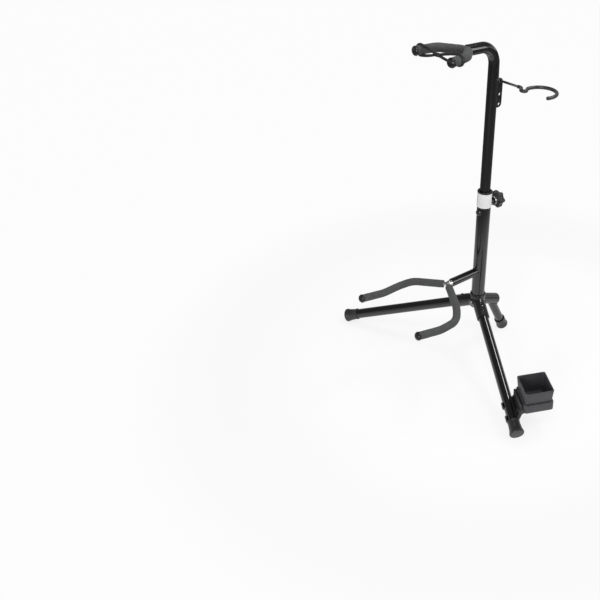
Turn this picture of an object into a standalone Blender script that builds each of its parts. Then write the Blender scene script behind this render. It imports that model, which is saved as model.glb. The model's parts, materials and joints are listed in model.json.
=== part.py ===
"""Violin stand: a telescoping tubular upright on three legs, with a padded cradle and neck yoke.

Metres, +Z up. The instrument faces -Y, and +X is the stand's own left side, which carries the
bow hook and the bow box. Each object is one physical piece. Pieces on the upright are modelled in
the frame of an empty that leans back with it, and each moving piece hangs on an empty on its axis.
"""

from math import atan2, ceil, cos, pi, radians, sin, sqrt

import bmesh
import bpy
from mathutils import Matrix, Vector

# Fits and facets
GAP = 0.0003
TUBE_SIDES = 32
ROD_SIDES = 10
SMALL_SIDES = 20
BEND_STEP = radians(15)
APEX_PASSES = 12
SHARP_ANGLE = radians(38)

# Base: hub centre, front legs, rear stub and rear leg
HUB_HEIGHT = 0.0882
HUB_SLEEVE_RADIUS = 0.0102
HUB_SLEEVE_REACH = 0.0400
HUB_BEND_RADIUS = 0.022
HUB_BOSS_RADIUS = 0.0125
HUB_BOSS_TOP = 0.0105
HUB_BOSS_BOTTOM = -0.0115
HUB_SPIGOT_REACH = 0.0240
SOCKET_DEPTH = 0.0245
SOCKET_NUB_RADIUS = 0.0024
SOCKET_NUB_HEIGHT = 0.0014
SOCKET_NUB_FROM_MOUTH = 0.0165
RIVET_HEAD_RADIUS = 0.0036
RIVET_HEAD_HEIGHT = 0.0019
RIVET_SHANK_RADIUS = 0.0017
RIVET_SHANK_LENGTH = 0.0030
RIVET_PAD_MARGIN = 0.0006
RIVET_PAD_REACH = 0.0016
HUB_RIVET_HEIGHT = -0.0010
LEG_AZIMUTH = radians(59.2)
LEG_SLOPE = radians(18.9)
LEG_RADIUS = 0.0080
LEG_WALL = 0.0012
FOOT_LENGTH = 0.0225
FOOT_NECK_RADIUS = 0.0089
FOOT_RADIUS = 0.0110
FOOT_FLOOR = 0.0045
FOOT_ROUND = 0.0016
FOOT_FLAT = 0.0010
FOOT_FLARE_LENGTH = 0.0150
STUB_SLOPE = radians(26)
STUB_REACH = 0.0470
STUB_RADIUS = 0.0092
STUB_WALL = 0.0014
STUB_PLUG_LIP = 0.0012
STUB_PLUG_DEPTH = 0.0060
REAR_LEG_SEAT = 0.0332
REAR_LEG_SLOPE = radians(64.5)
REAR_LEG_RADIUS = 0.0070
REAR_FOOT_LENGTH = 0.0190
REAR_FOOT_RADIUS = 0.0100
REAR_FOOT_NECK_RADIUS = 0.0088
REAR_FOOT_FLARE_LENGTH = 0.0090

# Upright: heights run along its axis from the hub centre
UPRIGHT_LEAN = radians(3.1)
LOWER_TUBE_RADIUS = 0.01065
LOWER_TUBE_WALL = 0.0014
LOWER_TUBE_SEAT = -0.0040
LOWER_TUBE_TOP = 0.1903
UPPER_TUBE_RADIUS = 0.0080
UPPER_TUBE_WALL = 0.0012
UPPER_TUBE_OVERLAP = 0.0530
CROOK_HEIGHT = 0.4155
CROOK_BEND_RADIUS = 0.0280
YOKE_SETBACK = 0.0588

# Clamp zone at the top of the lower tube
FLANGE_OVERHANG = 0.00095
FLANGE_THICKNESS = 0.0020
FLANGE_CHAMFER = 0.0007
BUSHING_LENGTH = 0.0440
BAND_HEIGHT = 0.0230
BAND_THICKNESS = 0.00035
BAND_DROP = 0.0005
KNOB_DROP = 0.0203
SCREW_RADIUS = 0.0030
SCREW_BOSS_RADIUS = 0.0055
SCREW_BOSS_LENGTH = 0.0055
KNOB_NECK_RADIUS = 0.0068
KNOB_NECK_LENGTH = 0.0050
KNOB_STANDOFF = 0.0022
KNOB_THICKNESS = 0.0112
KNOB_MEAN_RADIUS = 0.0122
KNOB_LOBE_HEIGHT = 0.0014
KNOB_LOBES = 6
KNOB_EDGE = 0.0016
KNOB_POINTS_PER_LOBE = 8
KNOB_DISH_RADIUS = 0.0070
KNOB_DISH_DEPTH = 0.0010
KNOB_SCREW_DEPTH = 0.0060
BUSHING_RIVET_DROP = 0.0322
BUSHING_RIVET_RADIUS = 0.0050
BUSHING_RIVET_HEIGHT = 0.0034
BUSHING_RIVET_SHANK_RADIUS = 0.0022

# Bow hook and its tab on the back of the upper tube
TAB_THICKNESS = 0.0025
TAB_DROP = 0.0495
TAB_LENGTH = 0.0440
TAB_TOP = CROOK_HEIGHT - TAB_DROP
TAB_BOTTOM = TAB_TOP - TAB_LENGTH
TAB_WIDTH = 0.0122
TAB_CORNER = 0.0060
TAB_HOLE_RADIUS = 0.0025
TAB_HOLE_OFFSET = 0.0080
TAB_HOLE_SPACING = 0.0148
TAB_LOW_HOLE_RISE = 0.0046
TAB_TOP_HOLE_DROP = 0.0045
HOOK_WIRE_RADIUS = 0.0018
HOOK_SLEEVE_RADIUS = 0.0026
HOOK_SLEEVE_START = 0.0340
HOOK_SLEEVE_END_WALL = 0.0012
HOOK_STOP_OFFSET = 0.0052
HOOK_STOP_LENGTH = 0.0310
HOOK_INNER_PRONG = 0.0405
HOOK_PRONG_TIP = 0.0095
HOOK_PRONG_WIDTH = 0.0075
HOOK_RING_CENTRE_X = 0.0720
HOOK_RING_CENTRE_Y = 0.0036
HOOK_RING_RADIUS = 0.0230
HOOK_RING_END = radians(-28)

# Neck yoke and its rubber strap
PAD_ROD_RADIUS = 0.0030
YOKE_PAD_RADIUS = 0.0065
YOKE_SHOULDER_X = 0.0290
YOKE_SHOULDER_FORWARD = 0.0256
YOKE_SHOULDER_RISE = 0.0024
YOKE_TIP_HALF_WIDTH = 0.0341
YOKE_TIP_RISE = 0.0009
YOKE_ARM_LENGTH = 0.0576
YOKE_CENTRE_BEND = 0.0130
YOKE_SHOULDER_BEND = 0.0195
CAP_LENGTH = 0.0048
CAP_OVERHANG = 0.0003
CAP_SOCKET_DEPTH = 0.0028
STRAP_FROM_TIP = 0.0095
STRAP_CORD_RADIUS = 0.0014
STRAP_BEAD_LENGTH = 0.0080
STRAP_BEAD_RADIUS = 0.0022

# Cradle: stub tube on the lower tube, and the forked rod in it
CRADLE_STUB_HEIGHT = 0.0525
CRADLE_STUB_RISE = radians(1.2)
CRADLE_STUB_REACH = 0.0620
CRADLE_STUB_RADIUS = 0.0065
CRADLE_STUB_WALL = 0.0012
CRADLE_STEM_INSERTION = 0.0250
CRADLE_STEM_BARE = 0.0075
CRADLE_SHOULDER_X = 0.0488
CRADLE_SHOULDER_FORWARD = 0.0282
CRADLE_SHOULDER_DROP = 0.0049
CRADLE_HALF_SPREAD = 0.0637
CRADLE_CORNER_FORWARD = 0.0429
CRADLE_CORNER_DROP = 0.0136
CRADLE_SWAY_HALF_SPREAD = 0.0641
CRADLE_SWAY_FORWARD = 0.0740
CRADLE_SWAY_DROP = 0.0129
CRADLE_TIP_HALF_SPREAD = 0.0628
CRADLE_REACH = 0.1157
CRADLE_TIP_DROP = 0.0023
CRADLE_SHOULDER_BEND = 0.0450
CRADLE_CORNER_BEND = 0.0240
CRADLE_SWAY_BEND = 0.0620
CRADLE_PAD_RADIUS = 0.0059
CRADLE_PAD_START = 0.0065

# Bow box, clipped on the left leg just above its foot
CLIP_FOOT_GAP = 0.0006
CLIP_LENGTH = 0.0330
CLIP_WALL = 0.0021
CLIP_JAW_GAP = 0.0138
CLIP_FINGER_LENGTH = 0.0075
CLIP_FINGER_SPACING = 0.0215
CLIP_SADDLE_INNER = 0.0078
CLIP_MOUTH_TURN = radians(-152)
CLIP_PLATE_THICKNESS = 0.0034
CLIP_PLATE_HEIGHT = 0.0120
CLIP_PLATE_END = 0.0196
CLIP_SHELF_THICKNESS = 0.0030
CLIP_SHELF_REACH = 0.0300
CLIP_GUSSET_THICKNESS = 0.0026
CLIP_GUSSET_SPACING = 0.0200
BOX_OFFSET = 0.0345
BOX_ALONG = 0.0051
BOX_LEVEL = 0.0352
TRAY_FLOOR = 0.0016
TRAY_WALL = 0.0018
TRAY_HEIGHT = 0.0145
TRAY_CORNER = 0.0036
CUP_TOP_HALF_WIDTH = 0.0216
CUP_BOTTOM_HALF_WIDTH = 0.0188
CUP_HEIGHT = 0.0329
CUP_WALL = 0.0018
CUP_FLOOR = 0.0018
CUP_CORNER = 0.0026

X, Y, Z = Vector((1, 0, 0)), Vector((0, 1, 0)), Vector((0, 0, 1))


def clear_scene():
    for old in list(bpy.data.objects):
        bpy.data.objects.remove(old, do_unlink=True)


def material(name, colour, roughness, metallic=0.0):
    made = bpy.data.materials.new(name)
    made.use_nodes = True
    shader = made.node_tree.nodes["Principled BSDF"]
    shader.inputs["Base Color"].default_value = (*colour, 1.0)
    shader.inputs["Roughness"].default_value = roughness
    shader.inputs["Metallic"].default_value = metallic
    return made


FINISHES = {
    "gloss_black": ((0.012, 0.012, 0.013), 0.18, 0.6),
    "hub_black": ((0.030, 0.030, 0.032), 0.30, 0.4),
    "bright_steel": ((0.62, 0.62, 0.60), 0.22, 1.0),
    "dark_steel": ((0.10, 0.10, 0.10), 0.35, 1.0),
    "foam": ((0.045, 0.045, 0.048), 0.90, 0.0),
    "rubber": ((0.050, 0.050, 0.052), 0.62, 0.0),
    "black_plastic": ((0.022, 0.022, 0.024), 0.38, 0.0),
    "grey_plastic": ((0.065, 0.065, 0.068), 0.50, 0.0),
    "white_film": ((0.82, 0.82, 0.84), 0.35, 0.0),
}


def empty(name, matrix=Matrix.Identity(4), parent=None):
    made = bpy.data.objects.new(name, None)
    bpy.context.scene.collection.objects.link(made)
    made.empty_display_size = 0.01
    made.parent = parent
    made.matrix_local = matrix
    return made


def aim(point, direction, up=Z):
    """A matrix whose Z axis runs along direction from point, with X level where it can be."""
    along = Vector(direction).normalized()
    side = up.cross(along)
    side = side.normalized() if side.length > 1e-6 else X.copy()
    rows = Matrix((side, along.cross(side), along)).transposed().to_4x4()
    return Matrix.Translation(point) @ rows


def circle(radius, sides, height=0.0):
    turns = (2 * pi * i / sides for i in range(sides))
    return [Vector((radius * cos(turn), radius * sin(turn), height)) for turn in turns]


def rounded_rectangle(half_x, half_y, corner, height, steps=4):
    """Anticlockwise outline of a rectangle whose corners are arcs."""
    points = []
    for quarter, (sx, sy) in enumerate(((1, 1), (-1, 1), (-1, -1), (1, -1))):
        for step in range(steps + 1):
            turn = (quarter + step / steps) * pi / 2
            points.append(
                Vector(
                    (
                        sx * (half_x - corner) + corner * cos(turn),
                        sy * (half_y - corner) + corner * sin(turn),
                        height,
                    )
                )
            )
    return points


def skin(rings, loop=False):
    """A closed mesh over a row of rings. A ring of one point is a pole, and loop joins last to first."""
    mesh = bmesh.new()
    rows = [[mesh.verts.new(point) for point in ring] for ring in rings]
    pairs = list(zip(rows, rows[1:])) + ([(rows[-1], rows[0])] if loop else [])
    for low, high in pairs:
        count = max(len(low), len(high))
        for i in range(count):
            j = (i + 1) % count
            if len(low) == 1:
                mesh.faces.new((low[0], high[j], high[i]))
            elif len(high) == 1:
                mesh.faces.new((low[i], low[j], high[0]))
            else:
                mesh.faces.new((low[i], low[j], high[j], high[i]))
    if not loop:
        for row in (rows[0], rows[-1]):
            if len(row) > 1:
                mesh.faces.new(row)
    bmesh.ops.recalc_face_normals(mesh, faces=mesh.faces)
    return mesh


def turned(profile, sides=TUBE_SIDES, loop=False):
    """A solid of revolution about Z from (radius, height) pairs."""
    rings = [
        circle(radius, sides, height) if radius > 0 else [Vector((0, 0, height))]
        for radius, height in profile
    ]
    return skin(rings, loop)


def pipe(radius, bore, low, high, sides=TUBE_SIDES):
    """A straight tube about Z, open right through."""
    return turned(((radius, low), (radius, high), (bore, high), (bore, low)), sides, loop=True)


def rod(radius, low, high, sides=TUBE_SIDES):
    return turned(((radius, low), (radius, high)), sides)


def prism(outline, low, high):
    """An outline in X and Y, extruded along Z."""
    return skin([[Vector((x, y, height)) for x, y in outline] for height in (low, high)])


def block(low, high):
    (x0, y0, z0), (x1, y1, z1) = low, high
    return prism(((x0, y0), (x1, y0), (x1, y1), (x0, y1)), z0, z1)


def bent_path(corners, radii):
    """Points along straight runs joined by arcs. radii has one value for each inner corner."""
    points = [Vector(corners[0])]
    for before, corner, after, radius in zip(corners, corners[1:], corners[2:], radii):
        inward = (Vector(corner) - Vector(before)).normalized()
        outward = (Vector(after) - Vector(corner)).normalized()
        turn = inward.angle(outward)
        setback = radius * sin(turn / 2) / cos(turn / 2)
        start = Vector(corner) - inward * setback
        side = (outward - inward * inward.dot(outward)).normalized()
        steps = max(2, ceil(turn / BEND_STEP))
        for step in range(steps + 1):
            angle = turn * step / steps
            points.append(start + inward * (radius * sin(angle)) + side * (radius * (1 - cos(angle))))
    points.append(Vector(corners[-1]))
    return points


def path_rings(path, radius, sides):
    """Circles square to a path, carried along it without twist."""
    tangents = []
    for i in range(len(path)):
        before = path[max(i - 1, 0)]
        after = path[min(i + 1, len(path) - 1)]
        tangents.append((after - before).normalized())
    side = tangents[0].orthogonal().normalized()
    rings = []
    for point, tangent in zip(path, tangents):
        side = (side - tangent * side.dot(tangent)).normalized()
        other = tangent.cross(side)
        turns = (2 * pi * i / sides for i in range(sides))
        rings.append([point + (side * cos(t) + other * sin(t)) * radius for t in turns])
    return rings


def swept(path, radius, sides=ROD_SIDES):
    return skin(path_rings(path, radius, sides))


def swept_pipe(path, radius, bore, sides=ROD_SIDES):
    """A tube along a path, open at both ends."""
    outer = path_rings(path, radius, sides)
    inner = path_rings(path, bore, sides)
    return skin(outer + inner[::-1], loop=True)


def swept_boot(path, radius, bore, sides=ROD_SIDES):
    """A tube along a path, open at its start. Its bore stops at the last point but one."""
    outer = path_rings(path, radius, sides)
    inner = path_rings(path[:-1], bore, sides)
    return skin(inner[::-1] + outer)


def along_path(path, start, end_trim=0.0):
    """The stretch of a path from start to end_trim short of its end, in distance along it."""
    steps = [(b - a).length for a, b in zip(path, path[1:])]
    stop = sum(steps) - end_trim
    points, travelled = [], 0.0
    for a, b, step in zip(path, path[1:], steps):
        low, high = max(start, travelled), min(stop, travelled + step)
        if low < high:
            if not points:
                points.append(a.lerp(b, (low - travelled) / step))
            points.append(a.lerp(b, (high - travelled) / step))
        travelled += step
    return points


def piece(name, mesh, finish, parent, place=Matrix.Identity(4)):
    """Turns a bmesh into a named object with its own material, placed in its parent's frame."""
    data = bpy.data.meshes.new(name)
    mesh.to_mesh(data)
    mesh.free()
    data.shade_smooth()
    data.set_sharp_from_angle(angle=SHARP_ANGLE)
    data.materials.append(material(name, *FINISHES[finish]))
    made = bpy.data.objects.new(name, data)
    bpy.context.scene.collection.objects.link(made)
    made.parent = parent
    made.matrix_local = place
    return made


def helper(name, mesh, parent, place=Matrix.Identity(4)):
    """A shape that only cuts or joins another, kept out of the render."""
    made = piece(name, mesh, "dark_steel", parent, place)
    made.hide_render = True
    made.display_type = "WIRE"
    return made


def combine(target, operation, *others):
    for other in others:
        modifier = target.modifiers.new(other.name, "BOOLEAN")
        modifier.operation = operation
        modifier.object = other


def cut(target, *others):
    combine(target, "DIFFERENCE", *others)


def join(target, *others):
    combine(target, "UNION", *others)


def dome_rivet(radius, height, shank_radius, shank_length):
    """A domed head that stands above Z = 0 on a shank that runs below it."""
    steps = 4
    dome = [(radius * cos(t), height * sin(t)) for t in (pi / 2 * i / steps for i in range(steps))]
    return turned(
        [(0, -shank_length), (shank_radius, -shank_length), (shank_radius, 0)] + dome + [(0, height)],
        SMALL_SIDES,
    )


def hub_point():
    return Vector((0, 0, HUB_HEIGHT))


def upright_matrix():
    return Matrix.Translation(hub_point()) @ Matrix.Rotation(-UPRIGHT_LEAN, 4, "X")


def leg_direction(side):
    """Outward and down along a front leg: side is 1 on the stand's left and -1 on its right."""
    level = Vector((side * sin(LEG_AZIMUTH), -cos(LEG_AZIMUTH), 0))
    return level * cos(LEG_SLOPE) - Z * sin(LEG_SLOPE)


def foot_end(height, slope, radius):
    """Distance along a leg from a point at height to its foot's end, which sinks to the ground flat."""
    return (height - radius * cos(slope) + FOOT_FLAT) / sin(slope)


def front_leg_end():
    return foot_end(HUB_HEIGHT, LEG_SLOPE, FOOT_RADIUS)


def stub_direction():
    return Vector((0, cos(STUB_SLOPE), -sin(STUB_SLOPE)))


def rear_leg_start():
    return hub_point() + stub_direction() * REAR_LEG_SEAT


def rear_leg_direction():
    return Vector((0, cos(REAR_LEG_SLOPE), -sin(REAR_LEG_SLOPE)))


def ground_cutter(parent):
    reach = 3 * front_leg_end()
    return helper("ground_cutter", block((-reach, -reach, -2 * FOOT_RADIUS), (reach, reach, 0)), parent)


def foot_solid(length, neck, radius, flare, leg_radius):
    """The foot with its blind bore: one closed profile that starts and ends on the axis."""
    bore = leg_radius + GAP
    profile = (
        (0, length),
        (radius - FOOT_ROUND, length),
        (radius - FOOT_ROUND / 3, length - FOOT_ROUND / 3),
        (radius, length - FOOT_ROUND),
        (neck + (radius - neck) * 0.36, length - flare / 2),
        (neck, length - flare),
        (neck, FOOT_ROUND / 3),
        (neck - FOOT_ROUND / 3, 0),
        (bore, 0),
        (bore, length - FOOT_FLOOR),
        (0, length - FOOT_FLOOR),
    )
    return turned(profile)


def make_hub(root, upright):
    """Cast hub: one bent sleeve for both front legs, a boss round the upright and a rear socket."""
    mouths = [hub_point() + leg_direction(side) * HUB_SLEEVE_REACH for side in (-1, 1)]
    spine = bent_path((mouths[0], hub_point(), mouths[1]), (HUB_BEND_RADIUS,))
    hub = piece("hub", swept(spine, HUB_SLEEVE_RADIUS, TUBE_SIDES), "hub_black", root)
    boss = rod(HUB_BOSS_RADIUS, HUB_BOSS_BOTTOM, HUB_BOSS_TOP)
    rear = aim(hub_point(), stub_direction())
    front = rivet_place()
    pad_height = 2 * RIVET_PAD_REACH
    pad = rod(RIVET_HEAD_RADIUS + RIVET_PAD_MARGIN, -HUB_SLEEVE_RADIUS / 2, 0, SMALL_SIDES)
    join(
        hub,
        helper("hub_boss", boss, upright),
        helper("hub_spigot", rod(STUB_RADIUS - STUB_WALL - GAP, 0, HUB_SPIGOT_REACH), root, rear),
        helper("hub_rivet_pad", pad, upright, front),
    )
    for side, word in ((1, "left"), (-1, "right")):
        nub_at = leg_direction(side) * (HUB_SLEEVE_REACH - SOCKET_NUB_FROM_MOUTH)
        across = Vector((side * sin(LEG_AZIMUTH), -cos(LEG_AZIMUTH), 0)) * sin(LEG_SLOPE)
        outward = (Z * cos(LEG_SLOPE) + across).normalized()
        nub = rod(SOCKET_NUB_RADIUS, 0, HUB_SLEEVE_RADIUS + SOCKET_NUB_HEIGHT, SMALL_SIDES)
        join(hub, helper(f"{word}_socket_nub", nub, root, aim(hub_point() + nub_at, outward)))
    bore_start = HUB_SLEEVE_REACH - SOCKET_DEPTH
    for side, word in ((1, "left"), (-1, "right")):
        bore = rod(LEG_RADIUS + GAP, bore_start, HUB_SLEEVE_REACH + pad_height)
        cut(hub, helper(f"{word}_leg_bore", bore, root, aim(hub_point(), leg_direction(side))))
    tube_bore = rod(LOWER_TUBE_RADIUS + GAP, LOWER_TUBE_SEAT - GAP, HUB_BOSS_TOP + pad_height)
    rivet_bore = rod(RIVET_SHANK_RADIUS + GAP, -RIVET_SHANK_LENGTH - GAP, pad_height, SMALL_SIDES)
    cut(
        hub,
        helper("upright_bore", tube_bore, upright),
        helper("hub_rivet_bore", rivet_bore, upright, front),
    )
    rivet = dome_rivet(RIVET_HEAD_RADIUS, RIVET_HEAD_HEIGHT, RIVET_SHANK_RADIUS, RIVET_SHANK_LENGTH)
    lifted = front @ Matrix.Translation(Z * GAP)
    piece("hub_rivet", rivet, "hub_black", upright, lifted)


def rivet_place():
    """On the front of the hub, in the upright's frame: the face of the rivet's pad."""
    bend_shift = HUB_BEND_RADIUS / sin(LEG_AZIMUTH) - HUB_BEND_RADIUS
    face = HUB_SLEEVE_RADIUS + bend_shift + RIVET_PAD_REACH
    return aim(Vector((0, -face, HUB_RIVET_HEIGHT)), -Y)


def make_rear_leg(root, upright, ground):
    """Rear stub over the hub's spigot, its end plug, and the short steep leg coped under it."""
    along_stub = aim(hub_point(), stub_direction())
    stub_bore = STUB_RADIUS - STUB_WALL
    stub_mesh = pipe(STUB_RADIUS, stub_bore, 0, STUB_REACH)
    stub = piece("rear_stub", stub_mesh, "gloss_black", root, along_stub)
    boss_space = rod(HUB_BOSS_RADIUS + GAP, -STUB_REACH, STUB_REACH)
    cut(stub, helper("rear_stub_cope", boss_space, upright))
    plug_radius = stub_bore - GAP
    plug = turned(
        (
            (0, STUB_REACH - STUB_PLUG_DEPTH),
            (plug_radius, STUB_REACH - STUB_PLUG_DEPTH),
            (plug_radius, STUB_REACH + GAP),
            (STUB_RADIUS, STUB_REACH + GAP),
            (STUB_RADIUS, STUB_REACH + STUB_PLUG_LIP / 2),
            (STUB_RADIUS - STUB_PLUG_LIP / 2, STUB_REACH + STUB_PLUG_LIP),
            (0, STUB_REACH + STUB_PLUG_LIP * 1.2),
        )
    )
    piece("stub_plug", plug, "black_plastic", root, along_stub)
    end = foot_end(rear_leg_start().z, REAR_LEG_SLOPE, REAR_FOOT_RADIUS)
    along_leg = aim(rear_leg_start(), rear_leg_direction())
    leg_top = end - FOOT_FLOOR - GAP
    leg = pipe(REAR_LEG_RADIUS, REAR_LEG_RADIUS - LEG_WALL, 0, leg_top)
    rear_leg = piece("rear_leg", leg, "gloss_black", root, along_leg)
    cope = rod(STUB_RADIUS + GAP, 0, STUB_REACH * 2)
    cut(rear_leg, helper("rear_leg_cope", cope, root, along_stub))
    foot = foot_solid(
        REAR_FOOT_LENGTH, REAR_FOOT_NECK_RADIUS, REAR_FOOT_RADIUS, REAR_FOOT_FLARE_LENGTH, REAR_LEG_RADIUS
    )
    seat = along_leg @ Matrix.Translation(Z * (end - REAR_FOOT_LENGTH))
    cut(piece("rear_foot", foot, "rubber", root, seat), ground)


def make_front_leg(word, side, root, ground):
    """A tube that plugs into the hub and its flared rubber foot, on an empty along the leg."""
    axis = empty(f"{word}_leg_axis", aim(hub_point(), leg_direction(side)), root)
    end = front_leg_end()
    inner = HUB_SLEEVE_REACH - SOCKET_DEPTH + GAP
    tube = pipe(LEG_RADIUS, LEG_RADIUS - LEG_WALL, inner, end - FOOT_FLOOR - GAP)
    piece(f"{word}_leg", tube, "gloss_black", axis)
    foot = foot_solid(FOOT_LENGTH, FOOT_NECK_RADIUS, FOOT_RADIUS, FOOT_FLARE_LENGTH, LEG_RADIUS)
    seat = Matrix.Translation(Z * (end - FOOT_LENGTH))
    cut(piece(f"{word}_foot", foot, "rubber", axis, seat), ground)
    return axis


def knob_height():
    return LOWER_TUBE_TOP - KNOB_DROP


def bushing_rivet_height():
    return LOWER_TUBE_TOP - BUSHING_RIVET_DROP


def make_lower_tube(upright):
    """The lower tube, with a hole at the back for the clamp screw and one for the bushing's rivet."""
    tube = pipe(
        LOWER_TUBE_RADIUS, LOWER_TUBE_RADIUS - LOWER_TUBE_WALL, LOWER_TUBE_SEAT, LOWER_TUBE_TOP
    )
    lower_tube = piece("lower_tube", tube, "gloss_black", upright)
    bushing_radius = LOWER_TUBE_RADIUS - LOWER_TUBE_WALL - GAP
    bore = UPPER_TUBE_RADIUS + GAP
    flange_low = LOWER_TUBE_TOP + GAP
    flange_top = flange_low + FLANGE_THICKNESS
    flange_radius = LOWER_TUBE_RADIUS + FLANGE_OVERHANG
    bushing_mesh = turned(
        (
            (bore, LOWER_TUBE_TOP - BUSHING_LENGTH),
            (bushing_radius, LOWER_TUBE_TOP - BUSHING_LENGTH),
            (bushing_radius, flange_low),
            (flange_radius, flange_low),
            (flange_radius, flange_top - FLANGE_CHAMFER),
            (flange_radius - FLANGE_CHAMFER, flange_top),
            (bore + FLANGE_CHAMFER, flange_top),
            (bore, flange_top - FLANGE_CHAMFER / 2),
        ),
        loop=True,
    )
    bushing = piece("tube_bushing", bushing_mesh, "black_plastic", upright)
    screw_way = rod(SCREW_RADIUS + GAP, UPPER_TUBE_RADIUS / 2, LOWER_TUBE_RADIUS * 2, SMALL_SIDES)
    screw_cutter = helper("screw_way", screw_way, upright, aim(Z * knob_height(), Y))
    rivet_way = rod(
        BUSHING_RIVET_SHANK_RADIUS + GAP, UPPER_TUBE_RADIUS / 2, LOWER_TUBE_RADIUS * 2, SMALL_SIDES
    )
    rivet_cutter = helper("rivet_way", rivet_way, upright, aim(Z * bushing_rivet_height(), -Y))
    for holed in (lower_tube, bushing):
        cut(holed, screw_cutter, rivet_cutter)
    shank_length = LOWER_TUBE_RADIUS - UPPER_TUBE_RADIUS - GAP
    rivet = dome_rivet(
        BUSHING_RIVET_RADIUS, BUSHING_RIVET_HEIGHT, BUSHING_RIVET_SHANK_RADIUS, shank_length
    )
    seat = Vector((0, -LOWER_TUBE_RADIUS - GAP, bushing_rivet_height()))
    piece("bushing_rivet", rivet, "black_plastic", upright, aim(seat, -Y))


def make_band(upright):
    """The plain white band round the tube's top, and the threaded boss that stands out through it."""
    inside = LOWER_TUBE_RADIUS + GAP
    band_top = LOWER_TUBE_TOP - BAND_DROP
    band_mesh = pipe(inside + BAND_THICKNESS, inside, band_top - BAND_HEIGHT, band_top)
    band = piece("label_band", band_mesh, "white_film", upright)
    boss = rod(SCREW_BOSS_RADIUS, 0, LOWER_TUBE_RADIUS + SCREW_BOSS_LENGTH, SMALL_SIDES)
    backward = aim(Z * knob_height(), Y)
    screw_boss = piece("screw_boss", boss, "hub_black", upright, backward)
    way = rod(SCREW_RADIUS + GAP, -SCREW_RADIUS, LOWER_TUBE_RADIUS * 3, SMALL_SIDES)
    tube_space = rod(inside, LOWER_TUBE_TOP - 2 * BAND_HEIGHT, LOWER_TUBE_TOP)
    cut(
        screw_boss,
        helper("screw_boss_cope", tube_space, upright),
        helper("screw_boss_bore", way, upright, backward),
    )
    window = rod(SCREW_BOSS_RADIUS + GAP, LOWER_TUBE_RADIUS / 2, LOWER_TUBE_RADIUS * 2, SMALL_SIDES)
    cut(band, helper("band_window", window, upright, backward))


def lobed_ring(scale, height):
    """One outline of the star knob: a circle whose radius rises and falls once for each lobe."""
    count = KNOB_LOBES * KNOB_POINTS_PER_LOBE
    points = []
    for i in range(count):
        turn = 2 * pi * i / count
        radius = (KNOB_MEAN_RADIUS + KNOB_LOBE_HEIGHT * cos(KNOB_LOBES * turn)) + scale
        points.append(Vector((radius * cos(turn), radius * sin(turn), height)))
    return points


def make_knob(upright):
    """The star knob and its screw, about an empty on the screw's axis at the back of the clamp."""
    axis = empty("knob_axis", aim(Z * knob_height(), Y), upright)
    neck_start = LOWER_TUBE_RADIUS + SCREW_BOSS_LENGTH + KNOB_STANDOFF
    body_start = neck_start + KNOB_NECK_LENGTH
    body_end = body_start + KNOB_THICKNESS
    count = KNOB_LOBES * KNOB_POINTS_PER_LOBE
    knob_mesh = skin(
        (
            circle(KNOB_NECK_RADIUS, count, neck_start),
            circle(KNOB_NECK_RADIUS, count, body_start - KNOB_EDGE / 2),
            lobed_ring(-KNOB_EDGE * 2, body_start),
            lobed_ring(0, body_start + KNOB_EDGE),
            lobed_ring(0, body_end - KNOB_EDGE),
            lobed_ring(-KNOB_EDGE, body_end),
            circle(KNOB_DISH_RADIUS, count, body_end),
            circle(KNOB_DISH_RADIUS - KNOB_DISH_DEPTH, count, body_end - KNOB_DISH_DEPTH),
        )
    )
    knob = piece("height_knob", knob_mesh, "black_plastic", axis)
    screw_end = body_start + KNOB_SCREW_DEPTH
    socket = rod(SCREW_RADIUS + GAP, neck_start - KNOB_EDGE, screw_end + GAP, SMALL_SIDES)
    cut(knob, helper("knob_socket", socket, axis))
    tip = UPPER_TUBE_RADIUS + GAP
    screw = turned(
        (
            (0, tip),
            (SCREW_RADIUS * 0.7, tip),
            (SCREW_RADIUS, tip + SCREW_RADIUS * 0.3),
            (SCREW_RADIUS, screw_end),
            (0, screw_end),
        ),
        SMALL_SIDES,
    )
    piece("knob_screw", screw, "bright_steel", axis)


def make_upper_tube(upright):
    """The telescoping tube, bent forward at its top to meet the yoke's rod."""
    mast = empty("mast_axis", Matrix.Translation(Z * (LOWER_TUBE_TOP - UPPER_TUBE_OVERLAP)), upright)
    base = Matrix.Translation(-Z * (LOWER_TUBE_TOP - UPPER_TUBE_OVERLAP))
    end = YOKE_SETBACK - PAD_ROD_RADIUS - GAP
    path = bent_path(
        (Z * (LOWER_TUBE_TOP - UPPER_TUBE_OVERLAP), Z * CROOK_HEIGHT, Vector((0, -end, CROOK_HEIGHT))),
        (CROOK_BEND_RADIUS,),
    )
    tube = swept_pipe(path, UPPER_TUBE_RADIUS, UPPER_TUBE_RADIUS - UPPER_TUBE_WALL, TUBE_SIDES)
    piece("upper_tube", tube, "gloss_black", mast, base)
    return mast, base


def tab_hole(index):
    """Centre of one of the tab's holes, in the upright's frame: 0 and 1 from the foot, 2 at the top."""
    height = TAB_BOTTOM + TAB_LOW_HOLE_RISE + index * TAB_HOLE_SPACING
    if index == 2:
        height = TAB_TOP - TAB_TOP_HOLE_DROP
    return Vector((0, UPPER_TUBE_RADIUS + TAB_HOLE_OFFSET, height))


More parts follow.
